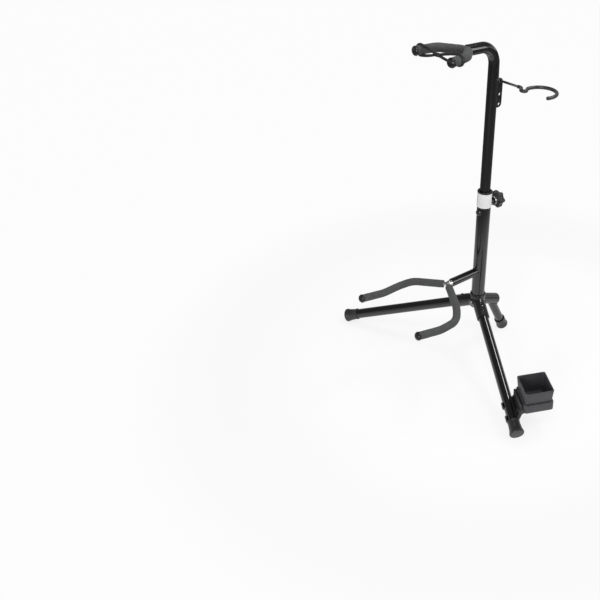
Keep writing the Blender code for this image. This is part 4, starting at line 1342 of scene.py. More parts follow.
@dataclass
class EndCap:
    """A domed rubber cap on the end of a padded rod, with a rolled rim round its mouth."""

    pad_radius: float
    length: float = 0.0048
    overhang: float = 0.0003
    skirt: float = 0.0012
    rim: float = 0.0005
    rim_round: float = 0.0003
    dome_steps: int = 15

    def profile(self) -> Profile:
        """Radius and height from the pad's end outwards.

        Returns:
            The outline, which starts and ends on the axis.
        """
        radius = self.pad_radius + self.overhang
        rolled, neck, shoulder = radius + self.rim * 0.4, radius - 0.0001, self.skirt * 1.15
        edge = [(0.0, SEAT_GAP), (radius - 0.0003, SEAT_GAP), (rolled, self.rim)]
        edge += [(rolled, self.skirt * 0.9), (neck, shoulder)]
        rise = self.length - shoulder
        dome = []
        for step in range(1, self.dome_steps):
            turn = pi / 2 * step / self.dome_steps
            dome.append((neck * cos(turn), shoulder + rise * sin(turn)))
        return [*soften(edge, self.rim_round), *dome, (0.0, self.length)]

    def build(self, shop: Workshop, name: str, path: Path, body: Body, node: str) -> None:
        """Puts the cap on a path's end.

        Args:
            shop: the workshop.
            name: the cap's name.
            path: the pad's centreline, ending at the cap.
            body: the body that it rides on.
            node: the CAD node that it stands for.
        """
        place = aim(path[-1], path[-1] - path[-2])
        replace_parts(finished(name, revolve(self.profile(), 48), place, shop.cap, body), node)


@dataclass
class Foot:
    """A rubber boot on a leg's end, worn flat where it meets the floor."""

    length: float
    neck: float
    radius: float
    flare: float
    leg_radius: float
    floor: float = 0.0045
    bead: float = 0.0006
    worn: float = 0.0010

    def reach(self, height: float, slope: float) -> float:
        """How far a leg that slopes down from a height goes to the worn sole's end."""
        return (height - self.radius * cos(slope) + self.worn) / sin(slope)

    def profile(self) -> Profile:
        """The boot's closed outline, from its sole round the flare and down the bore.

        Returns:
            The outline, as pairs of radius and distance from the boot's mouth.
        """
        bore = self.leg_radius + 0.0001
        sole = self.length
        corners = (
            (0.0, sole),
            (self.radius * 0.45, sole),
            (self.radius * 0.52, sole - 0.0004),
            (self.radius * 0.78, sole - 0.0003),
            (self.radius - 0.0012, sole),
            (self.radius, sole - 0.0014),
            (self.radius - 0.0002, sole - 0.0034),
            (self.neck + (self.radius - self.neck) * 0.36, sole - self.flare / 2),
            (self.neck, sole - self.flare),
            (self.neck, 0.0030),
            (self.neck + self.bead * 0.5, 0.0022),
            (self.neck + self.bead * 0.5, 0.0006),
            (self.neck - 0.0002, 0.0),
            (bore, 0.0),
            (bore, sole - self.floor),
            (0.0, sole - self.floor),
        )
        return soften(corners, 0.0011, 5)

    def build(self, shop: Workshop, name: str, start: Matrix, body: Body, node: str) -> None:
        """Makes the boot.

        Args:
            shop: the workshop.
            name: the boot's name.
            start: the frame of its mouth, Z towards the sole.
            body: the body that it rides on.
            node: the CAD node that it stands for.
        """
        mesh = revolve(self.profile(), 72)
        mesh.transform(start)
        for vert in mesh.verts:
            vert.co.z = max(vert.co.z, 0.0)
        made = finished(name, mesh, Matrix.Identity(4), shop.boot, body)
        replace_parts(made, node)


@dataclass
class Base:
    """The hub, the lower tube with its clamp, and the fixed rear stub and leg."""

    lower_radius: float = 0.01065
    lower_wall: float = 0.0014
    lower_seat: float = -0.0040
    lower_top: float = 0.1903
    flange_overhang: float = 0.00095
    flange_thickness: float = 0.0020
    bushing_length: float = 0.0440
    bushing_bore: float = 0.0083
    rivet_drop: float = 0.0322
    hub_boss_radius: float = 0.0125
    hub_boss_top: float = 0.0105
    stub_slope: float = radians(26)
    stub_reach: float = 0.0470
    stub_radius: float = 0.0092
    stub_wall: float = 0.0014
    rear_seat: float = 0.0332
    rear_slope: float = radians(64.5)
    rear_radius: float = 0.0070
    rear_wall: float = 0.0012
    rear_foot_length: float = 0.0190
    rivet_radius: float = 0.0050
    rivet_height: float = 0.0034
    rivet_steps: int = 10

    def build(self, shop: Workshop) -> None:
        """Makes every fixed piece of the base.

        Args:
            shop: the workshop.
        """
        self.build_hub(shop)
        self.build_upright(shop)
        self.build_clamp(shop)
        self.build_rivet(shop)
        self.build_stub(shop)
        self.build_rear_leg(shop)
        self.build_rear_welds(shop)

    def build_hub(self, shop: Workshop) -> None:
        """The cast hub, its rivet head and the weld round the upright.

        Args:
            shop: the workshop.
        """
        refined("hub", "hub_casting", shop.cast, Body.BASE, 0.35 * MM)
        refined("hub_rivet", "hub_rivet_head", shop.head, Body.BASE, 0.2 * MM)
        upright = shop.layout.upright()
        radius, height = self.lower_radius + 0.0006, self.hub_boss_top + 0.0002
        ring = [upright @ (spoke(turn) * radius + Z_AXIS * height) for turn in even_turns(64)]
        shop.bead("hub_weld", ring, 0.9 * MM, Body.BASE)

    def build_upright(self, shop: Workshop) -> None:
        """The lower tube, with its rim rounded over.

        Args:
            shop: the workshop.
        """
        line = [Z_AXIS * self.lower_seat, Z_AXIS * self.lower_top]
        tube = swept_tube(line, self.lower_radius, self.lower_wall, 96)
        place = shop.layout.upright()
        made = finished("lower_tube_shell", tube, place, shop.enamel, Body.BASE)
        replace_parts(made, "lower_tube")

    def build_clamp(self, shop: Workshop) -> None:
        """The bushing, the bare white band and the screw's boss.

        Args:
            shop: the workshop.
        """
        low = self.lower_top + SEAT_GAP
        top = low + self.flange_thickness
        bore, bottom = self.bushing_bore, top - self.bushing_length
        outer = self.lower_radius + self.flange_overhang
        inner = self.lower_radius - self.lower_wall - 0.0002
        corners = (
            (bore, bottom),
            (inner, bottom),
            (inner, low),
            (outer, low),
            (outer, top),
            (bore + 0.0004, top),
            (bore, top - 0.0006),
            (bore, bottom),
        )
        shape = revolve(soften(corners, 0.0007)[:-1], 96)
        place = shop.layout.upright()
        collar = finished("bushing_collar", shape, place, shop.collar, Body.BASE)
        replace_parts(collar, "tube_bushing")
        refined("label_band", "wrap_band", shop.film, Body.BASE, 0.08 * MM)
        refined("screw_boss", "clamp_boss", shop.cast, Body.BASE, 0.4 * MM)

    def build_rivet(self, shop: Workshop) -> None:
        """The domed rivet that fixes the bushing, on the tube's front.

        Args:
            shop: the workshop.
        """
        radius, height = self.rivet_radius, self.rivet_height
        profile = [(0.0, -0.0012), (radius, -0.0012), (radius, 0.0002)]
        for step in range(1, self.rivet_steps):
            turn = pi / 2 * step / self.rivet_steps
            profile.append((radius * cos(turn), height * sin(turn)))
        shape = revolve([*profile, (0.0, height)], 48)
        seat = Vector((0, -self.lower_radius - SEAT_GAP, self.lower_top - self.rivet_drop))
        place = shop.layout.upright() @ aim(seat, -Y_AXIS)
        rivet = finished("bushing_rivet_head", shape, place, shop.rivet, Body.BASE)
        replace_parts(rivet, "bushing_rivet")

    @staticmethod
    def rearward(slope: float) -> Vector:
        """The direction to the rear that falls by a slope."""
        return Vector((0, cos(slope), -sin(slope)))

    def stub_place(self, shop: Workshop) -> Matrix:
        """The rear stub's frame, from the hub's middle."""
        return aim(shop.layout.hub, self.rearward(self.stub_slope))

    def rear_leg_place(self, shop: Workshop) -> Matrix:
        """The rear leg's frame, from its seat in the stub."""
        start = shop.layout.hub + self.rearward(self.stub_slope) * self.rear_seat
        return aim(start, self.rearward(self.rear_slope))

    def build_stub(self, shop: Workshop) -> None:
        """The thick rear stub with its end plug.

        Args:
            shop: the workshop.
        """
        place = self.stub_place(shop)
        reach, radius = self.stub_reach, self.stub_radius
        run = [Z_AXIS * (self.hub_boss_radius * 0.72), Z_AXIS * reach]
        tube = swept_tube(run, radius, self.stub_wall, 80)
        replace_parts(finished("rear_stub_tube", tube, place, shop.enamel, Body.BASE), "rear_stub")
        inner = radius - self.stub_wall - SEAT_GAP
        corners = (
            (0.0, reach - 0.0060),
            (inner, reach - 0.0060),
            (inner, reach + SEAT_GAP),
            (radius, reach + SEAT_GAP),
            (radius, reach + 0.0008),
            (radius - 0.0007, reach + 0.0013),
            (radius * 0.70, reach + 0.0014),
            (radius * 0.62, reach + 0.0007),
            (0.0, reach + 0.0007),
        )
        plug = revolve(soften(corners, 0.0004), 64)
        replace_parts(finished("stub_end_plug", plug, place, shop.collar, Body.BASE), "stub_plug")

    def build_rear_leg(self, shop: Workshop) -> None:
        """The short steep leg under the stub, with its boot.

        Args:
            shop: the workshop.
        """
        place = self.rear_leg_place(shop)
        foot = Foot(self.rear_foot_length, 0.0088, 0.0100, 0.0090, self.rear_radius)
        end = foot.reach(place.translation.z, self.rear_slope)
        run = [Z_AXIS * self.stub_radius * 0.6, Z_AXIS * (end - foot.floor - SEAT_GAP)]
        tube = swept_tube(run, self.rear_radius, self.rear_wall, 64)
        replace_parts(finished("rear_leg_tube", tube, place, shop.enamel, Body.BASE), "rear_leg")
        mouth = place @ Matrix.Translation(Z_AXIS * (end - foot.length))
        foot.build(shop, "rear_boot", mouth, Body.BASE, "rear_foot")

    def build_rear_welds(self, shop: Workshop) -> None:
        """The welds of the rear leg to the stub, and of the stub to the hub.

        Args:
            shop: the workshop.
        """
        stub = self.stub_place(shop)
        joint = saddle(stub, self.stub_radius, self.rear_leg_place(shop), self.rear_radius)
        shop.bead("rear_leg_weld", joint, 0.8 * MM, Body.BASE)
        joint = saddle(shop.layout.upright(), self.hub_boss_radius, stub, self.stub_radius)
        shop.bead("rear_stub_weld", joint, 0.9 * MM, Body.BASE)


@dataclass
class FrontLegs:
    """The two front tubes, which plug into the hub, and their boots."""

    radius: float = 0.0080
    wall: float = 0.0012
    inner: float = 0.0158

    def build(self, shop: Workshop) -> None:
        """Makes both legs."""
        self.build_leg(shop, Side.LEFT, shop.layout.left, Body.LEFT_LEG)
        self.build_leg(shop, Side.RIGHT, shop.layout.right, Body.RIGHT_LEG)

    def build_leg(self, shop: Workshop, side: Side, way: Vector, body: Body) -> None:
        """Makes one leg's tube and boot.

        Args:
            shop: the workshop.
            side: the stand's side.
            way: the leg's direction, out of the hub.
            body: the body that it rides on.
        """
        hub, word = shop.layout.hub, side.word
        foot = Foot(0.0225, 0.0089, 0.0110, 0.0150, self.radius)
        end = foot.reach(hub.z, atan2(-way.z, sqrt(way.x**2 + way.y**2)))
        run = [Z_AXIS * self.inner, Z_AXIS * (end - foot.floor - SEAT_GAP)]
        tube = swept_tube(run, self.radius, self.wall, 80)
        place = aim(hub, way)
        made = finished(f"{word}_leg_tube", tube, place, shop.enamel, body)
        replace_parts(made, f"{word}_leg")
        mouth = place @ Matrix.Translation(Z_AXIS * (end - foot.length))
        foot.build(shop, f"{word}_boot", mouth, body, f"{word}_foot")


@dataclass
class ClampKnob:
    """The star knob and its threaded screw."""

    mean_radius: float = 0.0122
    lobe: float = 0.0014
    lobes: int = 6
    thickness: float = 0.0112
    neck_radius: float = 0.0068
    neck_length: float = 0.0050
    neck_start: float = 0.01835
    dish_radius: float = 0.0070
    dish_depth: float = 0.0010
    screw_radius: float = 0.0030
    screw_start: float = 0.0083
    screw_core: float = 0.86
    thread_lead_in: float = 0.001
    thread_turns: float = 11.0
    per_lobe: int = 20
    ferrule_wall: float = 0.0005
    ferrule_width: float = 0.0024

    def ring(self, inset: float, height: float, weight: float) -> Path:
        """One outline of the knob.

        Args:
            inset: how far it lies inside the full outline.
            height: its height on the screw's axis.
            weight: 1 for the full lobes, 0 for a plain circle.

        Returns:
            The outline's points.
        """
        sharpness = 1.6
        points = []
        for turn in even_turns(self.lobes * self.per_lobe):
            wave = 1 - 2 * abs(sin(self.lobes * turn / 2)) ** sharpness
            radius = self.mean_radius + self.lobe * wave * weight - inset
            points.append(spoke(turn, radius, height))
        return points

    def build(self, shop: Workshop) -> None:
        """Makes the knob, its ferrule and the screw on the clamp's axis.

        Args:
            shop: the workshop.
        """
        place = aim(shop.layout.knob, shop.layout.knob_out)
        self.build_grip(shop, place)
        self.build_ferrule(shop, place)
        self.build_screw(shop, place)

    def build_grip(self, shop: Workshop, place: Matrix) -> None:
        """The moulded star: neck, six soft lobes and a dished face.

        Args:
            shop: the workshop.
            place: the clamp's frame.
        """
        full, start = self.mean_radius, self.neck_start
        low = start + self.neck_length
        high = low + self.thickness
        neck = full - self.neck_radius
        stations = [
            (full - self.screw_radius - SEAT_GAP, start, 0.0),
            (neck + 0.0004, start, 0.0),
            (neck, start + 0.0004, 0.0),
            (neck, low - 0.0008, 0.0),
            (neck - 0.0010, low, 0.3),
            (0.0026, low + 0.0001, 0.8),
            (0.0010, low + 0.0006, 1.0),
            (0.0002, low + 0.0018, 1.0),
            (0.0, low + 0.0030, 1.0),
            (0.0, high - 0.0030, 1.0),
            (0.0002, high - 0.0016, 1.0),
            (0.0008, high - 0.0006, 1.0),
            (0.0020, high, 1.0),
            (full - self.dish_radius - 0.0004, high, 0.1),
            (full - self.dish_radius, high - 0.0002, 0.0),
            (full - self.dish_radius + 0.0008, high - self.dish_depth, 0.0),
            (full - 0.0012, high - self.dish_depth, 0.0),
        ]
        shape = loft([self.ring(*station) for station in stations])
        knob = finished("clamp_star_knob", shape, place, shop.knob, Body.KNOB)
        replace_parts(knob, "height_knob")

    def build_screw(self, shop: Workshop, place: Matrix) -> None:
        """The clamp screw, with its thread wound on by the recipe.

        Args:
            shop: the workshop.
            place: the clamp's frame.
        """
        start, end = self.screw_start, self.neck_start + self.neck_length + 0.0060
        core = self.screw_radius * self.screw_core
        corners = ((0.0, start), (self.screw_radius * 0.6, start), (core, start + 0.0009))
        shank = revolve(soften((*corners, (core, end), (0.0, end)), 0.0004), 32)
        thread_start = start + self.thread_lead_in
        sizes = {"Shank radius": core, "Crest radius": 0.0004}
        sizes |= {"Length": self.neck_start - thread_start, "Turns": self.thread_turns}
        shank.transform(Matrix.Translation(-Z_AXIS * thread_start))
        made = shop.threads.run("clamp_screw_thread", shank, sizes, shop.screw)
        made.data.transform(place @ Matrix.Translation(Z_AXIS * thread_start))
        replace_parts(handed_over(made, shop.screw, Body.KNOB), "knob_screw")

    def build_ferrule(self, shop: Workshop, place: Matrix) -> None:
        """The plated ferrule pressed on the knob's neck.

        Args:
            shop: the workshop.
            place: the clamp's frame.
        """
        inner, outer = self.neck_radius - 0.0002, self.neck_radius + self.ferrule_wall
        low, high = self.neck_start + 0.0003, self.neck_start + self.ferrule_width
        corners = ((inner, low), (outer, low), (outer, high), (inner, high), (inner, low))
        ring = revolve(soften(corners, 0.0002)[:-1], 64)
        finished("knob_ferrule", ring, place, shop.screw, Body.KNOB)


@dataclass
class Cradle:
    """The stub tube, the forked rod in it and a foam sleeve with a cap on each arm."""

    stub_height: float = 0.0525
    stub_rise: float = radians(1.2)
    stub_reach: float = 0.0620
    stub_radius: float = 0.0065
    stub_wall: float = 0.0012
    main_radius: float = 0.01065
    stem_bare: float = 0.0075
    stem_seat: float = 0.0250
    stem_radius: float = 0.0050
    rod_radius: float = 0.0030
    rod_short: float = 0.0015
    pad_radius: float = 0.0059
    pad_start: float = 0.0065
    shoulder: tuple[float, float, float] = (0.0488, 0.0282, 0.0049)
    corner: tuple[float, float, float] = (0.0637, 0.0429, 0.0136)
    sway: tuple[float, float, float] = (0.0641, 0.0740, 0.0129)
    tip: tuple[float, float, float] = (0.0628, 0.1157, 0.0023)
    bends: tuple[float, float, float] = (0.0450, 0.0240, 0.0620)

    def stub_place(self, shop: Workshop) -> Matrix:
        """The stub's frame, from the upright's axis forward."""
        way = Vector((0, -cos(self.stub_rise), sin(self.stub_rise)))
        return shop.layout.upright() @ aim(Z_AXIS * self.stub_height, way)

    def arm(self, start: Vector, side: Side) -> Path:
        """The centreline of one arm, from the stem to its tip.

        Args:
            start: where the arm leaves the stem.
            side: the stand's side that it is on.

        Returns:
            The arm's points.
        """
        spots = (self.shoulder, self.corner, self.sway, self.tip)
        corners = [start] + [start + Vector((side.value * x, -y, -z)) for x, y, z in spots]
        return arc_path(corners, self.bends)

    def build(self, shop: Workshop) -> None:
        """Makes the cradle.

        Args:
            shop: the workshop.
        """
        place = self.stub_place(shop)
        run = [Z_AXIS * self.main_radius * 0.8, Z_AXIS * self.stub_reach]
        tube = swept_tube(run, self.stub_radius, self.stub_wall, 72)
        made = finished("cradle_stub_tube", tube, place, shop.enamel, Body.BASE)
        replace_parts(made, "cradle_stub")
        joint = saddle(shop.layout.upright(), self.main_radius, place, self.stub_radius)
        shop.bead("cradle_stub_weld", joint, 0.8 * MM, Body.BASE)
        junction = place @ (Z_AXIS * (self.stub_reach + self.stem_bare))
        self.build_fork(shop, place, junction)
        for side in Side:
            self.build_pad(shop, side.word, self.arm(junction, side))

    def build_pad(self, shop: Workshop, word: str, path: Path) -> None:
        """The foam sleeve and the cap on one arm.

        Args:
            shop: the workshop.
            word: the side's word in their names.
            path: the arm's centreline.
        """
        name, node = f"cradle_sleeve_{word}", f"cradle_foam_{word}"
        foam = stretch_of(path, self.pad_start)
        shop.sleeve_of(name, foam, self.pad_radius, Body.BASE, node)
        cap = EndCap(self.pad_radius)
        cap.build(shop, f"cradle_tip_{word}", path, Body.BASE, f"cradle_cap_{word}")

    def build_fork(self, shop: Workshop, place: Matrix, junction: Vector) -> None:
        """The stem and both arms' rods as one piece of bright steel.

        Args:
            shop: the workshop.
            place: the stub's frame.
            junction: where the arms leave the stem.
        """
        reach, radius = self.stub_reach + self.stem_bare, self.stem_radius
        root = self.stub_reach - self.stem_seat
        corners = (
            (0.0, root),
            (radius, root),
            (radius, reach - 0.0026),
            (radius * 0.94, reach + 0.0008),
            (radius * 0.62, reach + self.rod_radius),
            (0.0, reach + self.rod_radius),
        )
        fork = revolve(soften(corners, 0.0014), 48)
        fork.transform(place)
        for side in Side:
            line = stretch_of(self.arm(junction, side), 0.0, self.rod_short)
            absorb(fork, rounded_sweep(line, self.rod_radius, (0.0, 0.0008), 24))
        made = finished("cradle_fork_rod", fork, Matrix.Identity(4), shop.rod, Body.BASE)
        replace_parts(made, "cradle_fork")


@dataclass
class Yoke:
    """The mast's crook, the padded neck yoke on it and the rubber strap between its tips."""

    lower_top: float = 0.1903
    overlap: float = 0.0530
    tube_radius: float = 0.0080
    tube_wall: float = 0.0012
    crook_height: float = 0.4155
    crook_bend: float = 0.0280
    setback: float = 0.0588
    rod_radius: float = 0.0030
    pad_radius: float = 0.0065
    shoulder_x: float = 0.0290
    shoulder_forward: float = 0.0256
    shoulder_rise: float = 0.0024
    tip_half: float = 0.0341
    tip_rise: float = 0.0009
    arm_length: float = 0.0576
    bends: tuple[float, float, float] = (0.0195, 0.0130, 0.0195)
    strap_from_tip: tuple[float, float] = (0.0150, 0.0075)
    strap_radius: float = 0.0019
    strap_sink: float = 0.0011
    strap_swell: float = 0.05
    swells_per_metre: float = 2100.0 / (2 * pi)
    strap_rise: float = 0.0007
    strap_sag: float = 0.0009
    tie_middle: tuple[float, float] = (-0.0048, -0.0008)
    tie_size: tuple[float, float, float] = (0.0044, 0.0027, 0.0034)
    tie_waist: float = 0.16
    tie_spread: float = 0.0012

    def line(self) -> Path:
        """The yoke's centreline from tip to tip, in the upright's frame.

        Returns:
            The centreline's points, from the right tip to the left one.
        """
        tip = -self.setback - self.arm_length
        shoulder = -self.setback - self.shoulder_forward
        # The middle bend's inset and half turn depend on each other, and settle in a few passes.
        inset, passes = 0.0, 12
        for _ in range(passes):
            half_turn = atan2(self.shoulder_forward + inset, self.shoulder_x)
            inset = self.bends[1] * (1 / cos(half_turn) - 1)
        left = [
            (self.shoulder_x, shoulder, self.shoulder_rise),
            (self.tip_half, tip, self.tip_rise),
        ]
        right = [(-x, y, z) for x, y, z in left[::-1]]
        spots = [*right, (0.0, inset - self.setback, 0.0), *left]
        return arc_path([Vector((x, y, self.crook_height + z)) for x, y, z in spots], self.bends)

    def build(self, shop: Workshop) -> None:
        """Makes the crook, the yoke and the strap.

        Args:
            shop: the workshop.
        """
        self.build_crook(shop)
        upright = shop.layout.upright()
        line = [upright @ point for point in self.line()]
        bar = rounded_sweep(line, self.rod_radius, (0.0008, 0.0008), 24)
        made = finished("yoke_bar", bar, Matrix.Identity(4), shop.rod, Body.MAST)
        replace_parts(made, "yoke_rod")
        shop.sleeve_of("yoke_sleeve", line, self.pad_radius, Body.MAST, "yoke_foam")
        cap = EndCap(self.pad_radius)
        cap.build(shop, "yoke_tip_left", line, Body.MAST, "yoke_cap_left")
        cap.build(shop, "yoke_tip_right", line[::-1], Body.MAST, "yoke_cap_right")
        self.build_strap(shop)

    def build_crook(self, shop: Workshop) -> None:
        """The sliding tube, bent forward at its top to carry the yoke.

        Args:
            shop: the workshop.
        """
        ring_spacing = 0.02
        low = self.lower_top - self.overlap
        end = Vector((0, -self.setback + self.rod_radius, self.crook_height))
        path = arc_path([Z_AXIS * low, Z_AXIS * self.crook_height, end], [self.crook_bend])
        path = [*even_path(path[:2], ring_spacing), *path[2:]]
        tube = swept_tube(path, self.tube_radius, self.tube_wall, 80)
        made = finished("mast_tube", tube, shop.layout.upright(), shop.sliding, Body.MAST)
        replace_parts(made, "upper_tube")

    def arm_point(self, side: Side, from_tip: float) -> Vector:
        """A point on an arm's centreline, in the upright's frame.

        Args:
            side: the stand's side that the arm is on.
            from_tip: its distance from the arm's tip, along the stand.

        Returns:
            The point.
        """
        share = from_tip / (self.arm_length - self.shoulder_forward)
        sign, front, back = side.value, self.arm_length, self.shoulder_forward
        tip = Vector((sign * self.tip_half, -self.setback - front, self.tip_rise))
        root = Vector((sign * self.shoulder_x, -self.setback - back, self.shoulder_rise))
        return tip.lerp(root, share) + Z_AXIS * self.crook_height

    def build_strap(self, shop: Workshop) -> None:
        """The figure-of-eight rubber strap: a ring round each arm, pinched in an oval tie.

        Args:
            shop: the workshop.
        """
        left, right = (self.arm_point(*item) for item in zip(Side, self.strap_from_tip))
        share = (self.tie_middle[0] - right.x) / (left.x - right.x)
        middle = right.lerp(left, share) + Z_AXIS * self.tie_middle[1]
        along = (left - right).normalized()
        long, wide, tall = self.tie_size
        strap = bmesh.new()
        bmesh.ops.create_icosphere(strap, subdivisions=4, radius=1.0)
        for vert in strap.verts:
            waist = 1.0 - self.tie_waist * cos(vert.co.z * pi / 2) ** 6
            vert.co = Vector((vert.co.x * waist, vert.co.y * waist, vert.co.z))
        strap.transform(aim(middle, along) @ Matrix.Diagonal((wide, tall, long, 1.0)))
        for side, centre in ((Side.LEFT, left), (Side.RIGHT, right)):
            loop = self.strap_ring(middle + along * side.value * self.tie_spread, centre)
            rings = carried_rings([loop[-1], *loop, loop[0]], self.cord_radius, 24)
            absorb(strap, loft(rings[1:-1], closed=True))
        place = shop.layout.upright()
        made = finished("neck_strap", strap, place, shop.strap, Body.MAST)
        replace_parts(made, "security_strap")

    def cord_radius(self, at: float) -> float:
        """The cord's radius at a distance along it, which swells faintly as cast rubber does."""
        wave = sin(2 * pi * self.swells_per_metre * at)
        return self.strap_radius * (1.0 + self.strap_swell * wave)

    def strap_ring(self, start: Vector, centre: Vector) -> Path:
        """One half of the figure of eight, from the tie round an arm and back.

        Args:
            start: where it leaves the tie.
            centre: the arm's middle inside the ring.

        Returns:
            The ring's points, which sink a little into the pad that they grip.
        """
        ring_steps, lead_steps = 56, 8
        radius = self.pad_radius + self.strap_radius - self.strap_sink
        reach = (centre - start).length
        slant = atan2(radius, sqrt(reach * reach - radius * radius))
        out = (centre - start).normalized()
        ring = []
        for step in range(ring_steps + 1):
            turn = pi / 2 + slant - (pi + 2 * slant) * step / ring_steps
            ring.append(centre + (out * cos(turn) + Z_AXIS * sin(turn)) * radius)
        lead, back = [start + Z_AXIS * self.strap_rise], []
        for step in range(1, lead_steps):
            share = step / lead_steps
            arch = Z_AXIS * sin(pi * share)
            lead.append(start.lerp(ring[0], share) + arch * self.strap_rise)
            back.append(ring[-1].lerp(start, share) - arch * self.strap_sag)
        return [*lead, *ring, *back, start - Z_AXIS * self.strap_rise]


@dataclass
class BowHook:
    """The perforated tab, the wire through its top hole and the rubber sleeve on the wire."""

    wire_radius: float = 0.0018
    sleeve_radius: float = 0.0026
    sleeve_start: float = 0.0340
    stop_offset: float = 0.0052
    stop_length: float = 0.0310
    lean_in: float = 0.0056
    lean: float = radians(3.1)
    prong_start: float = 0.0405
    prong_depth: float = 0.0095
    prong_width: float = 0.0075
    ring_centre: tuple[float, float] = (0.0720, 0.0036)
    ring_radius: float = 0.0230
    ring_end: float = radians(-28)
    ring_steps: int = 60
    wire_short: float = 0.0016
    tab_low: float = 0.3220
    tab_high: float = 0.3660
    tube_radius: float = 0.0080
    weld_short: float = 0.001
    weld_offset: float = 0.0012

    def line(self) -> Path:
        """The wire's centreline about the tab's top hole, from its upturned end to its tip.

        Returns:
            The wire's points.
        """
        ring = Vector((*self.ring_centre, 0))
        lean = -self.lean_in + sin(self.lean) * self.stop_length
        corners = [
            Vector((-self.stop_offset / 4, lean, self.stop_length)),
            Vector((-self.stop_offset, 0, 0)),
            Vector((self.prong_start, 0, 0)),
            Vector((self.prong_start + self.prong_width, -self.prong_depth, 0)),
            Vector((self.prong_start + 2 * self.prong_width, -self.prong_depth * 0.85, 0)),
            ring - X_AXIS * self.ring_radius,
        ]
        bends = [1.9 * self.wire_radius, 3 * self.wire_radius, 0.0034, 0.0030]
        path = arc_path(corners, bends, radians(8))
        sweep = pi - self.ring_end
        for step in range(1, self.ring_steps + 1):
            turn = pi - sweep * step / self.ring_steps
            path.append(ring + spoke(turn) * self.ring_radius)
        return path

    def sleeve_lead(self, path: Path) -> float:
        """How far along the wire's path the sleeve begins.

        Args:
            path: the wire's centreline.

        Returns:
            The distance from the wire's upturned end.
        """
        travelled = 0.0
        for a, b in zip(path, path[1:]):
            if b.x > self.sleeve_start and b.z == 0:
                return travelled + self.sleeve_start - a.x
            travelled += (b - a).length
        return 0.0

    def build(self, shop: Workshop) -> None:
        """Makes the tab, its welds, the wire and the sleeve.

        Args:
            shop: the workshop.
        """
        refined("hook_tab", "hook_plate", shop.enamel, Body.MAST, 0.35 * MM)
        upright = shop.layout.upright()
        heights = (self.tab_low + self.weld_short, self.tab_high - self.weld_short)
        for side in Side:
            beside = side.value * self.weld_offset
            line = [upright @ Vector((beside, self.tube_radius, height)) for height in heights]
            shop.bead(f"hook_plate_weld_{side.word}", line, 0.7 * MM, Body.MAST, closed=False)
        place = Matrix.Translation(shop.layout.hook)
        path = self.line()
        inside = stretch_of(path, 0.0, self.wire_short)
        wire = rounded_sweep(inside, self.wire_radius, (0.0006, 0.0006), 24)
        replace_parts(finished("hook_wire", wire, place, shop.bright, Body.HOOK), "bow_hook_wire")
        cover = stretch_of(path, self.sleeve_lead(path))
        sleeve = rounded_sweep(cover, self.sleeve_radius, (0.0005, 0.0016), 28)
        made = finished("hook_sleeve", sleeve, place, shop.sleeve, Body.HOOK)
        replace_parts(made, "bow_hook_sleeve")


@dataclass
class BowBox:
    """The clip on the leg, the tray on it and the cup that lifts out."""

    top_half: float = 0.0216
    bottom_half: float = 0.0188
    height: float = 0.0329
    wall: float = 0.0018
    floor: float = 0.0018
    corner: float = 0.0026
    inner_corner: float = 0.00152
    base_step: float = 0.0012
    rim_rise: float = 0.0009
    rim_steps: int = 6
    levels: tuple[float, ...] = (0.004, 0.010, 0.018, 0.026)

    def build(self, shop: Workshop) -> None:
        """Makes the clip, the tray and the cup.

        Args:
            shop: the workshop.
        """
        refined("box_clip", "leg_clip", shop.clip, Body.CLIP, 0.3 * MM)
        refined("box_tray", "lower_tray", shop.box, Body.CLIP, 0.3 * MM)
        low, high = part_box("bow_cup")
        spot = Vector(((low.x + high.x) / 2, (low.y + high.y) / 2, low.z))
        turn = atan2(shop.layout.left.y, shop.layout.left.x)
        place = Matrix.Translation(spot) @ Matrix.Rotation(turn, 4, "Z")
        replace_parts(finished("bow_cup_shell", self.cup(), place, shop.box, Body.CUP), "bow_cup")

    def cup(self) -> bmesh.types.BMesh:
        """The cup as one lofted wall with a rounded rim, a base step and a floor.

        Returns:
            The cup about its own middle, standing on its floor.
        """
        bottom, inner = self.bottom_half, self.bottom_half - self.wall
        grow = (self.top_half - bottom) / self.height
        half_wall, rim = self.wall / 2, self.height - 0.0010
        profile = [(bottom - self.base_step, 0.0), (bottom, 0.0006)]
        profile += [(bottom + grow * level, level) for level in self.levels]
        profile += [(self.top_half, rim)]
        for step in range(1, self.rim_steps + 1):
            turn = pi * step / self.rim_steps
            half = self.top_half - half_wall + half_wall * cos(turn)
            profile.append((half, rim + self.rim_rise * sin(turn)))
        profile += [(inner + grow * level, level) for level in self.levels[::-1]]
        profile += [(inner, self.floor + 0.0008), (inner - self.base_step, self.floor)]
        rings = []
        for half, height in profile:
            corner = self.corner if half > bottom - 0.0003 else self.inner_corner
            rings.append(rounded_square(half, corner, height))
        return loft(rings)


@dataclass(frozen=True)
class SoftBox:
    """A rectangular studio lamp that faces a point."""

    name: str
    azimuth: float
    elevation: float
    distance: float
    width: float
    height: float
    watts: float

    def build(self, target: Vector) -> None:
        """Hangs the lamp.

        Args:
            target: the point that it faces.
        """
        lamp = bpy.data.lights.new(self.name, "AREA")
        lamp.shape = "RECTANGLE"
        lamp.size, lamp.size_y = self.width, self.height
        lamp.energy = self.watts
        back = bearing(radians(self.azimuth), radians(self.elevation))
        linked(self.name, lamp).matrix_world = aim(target + back * self.distance, back)


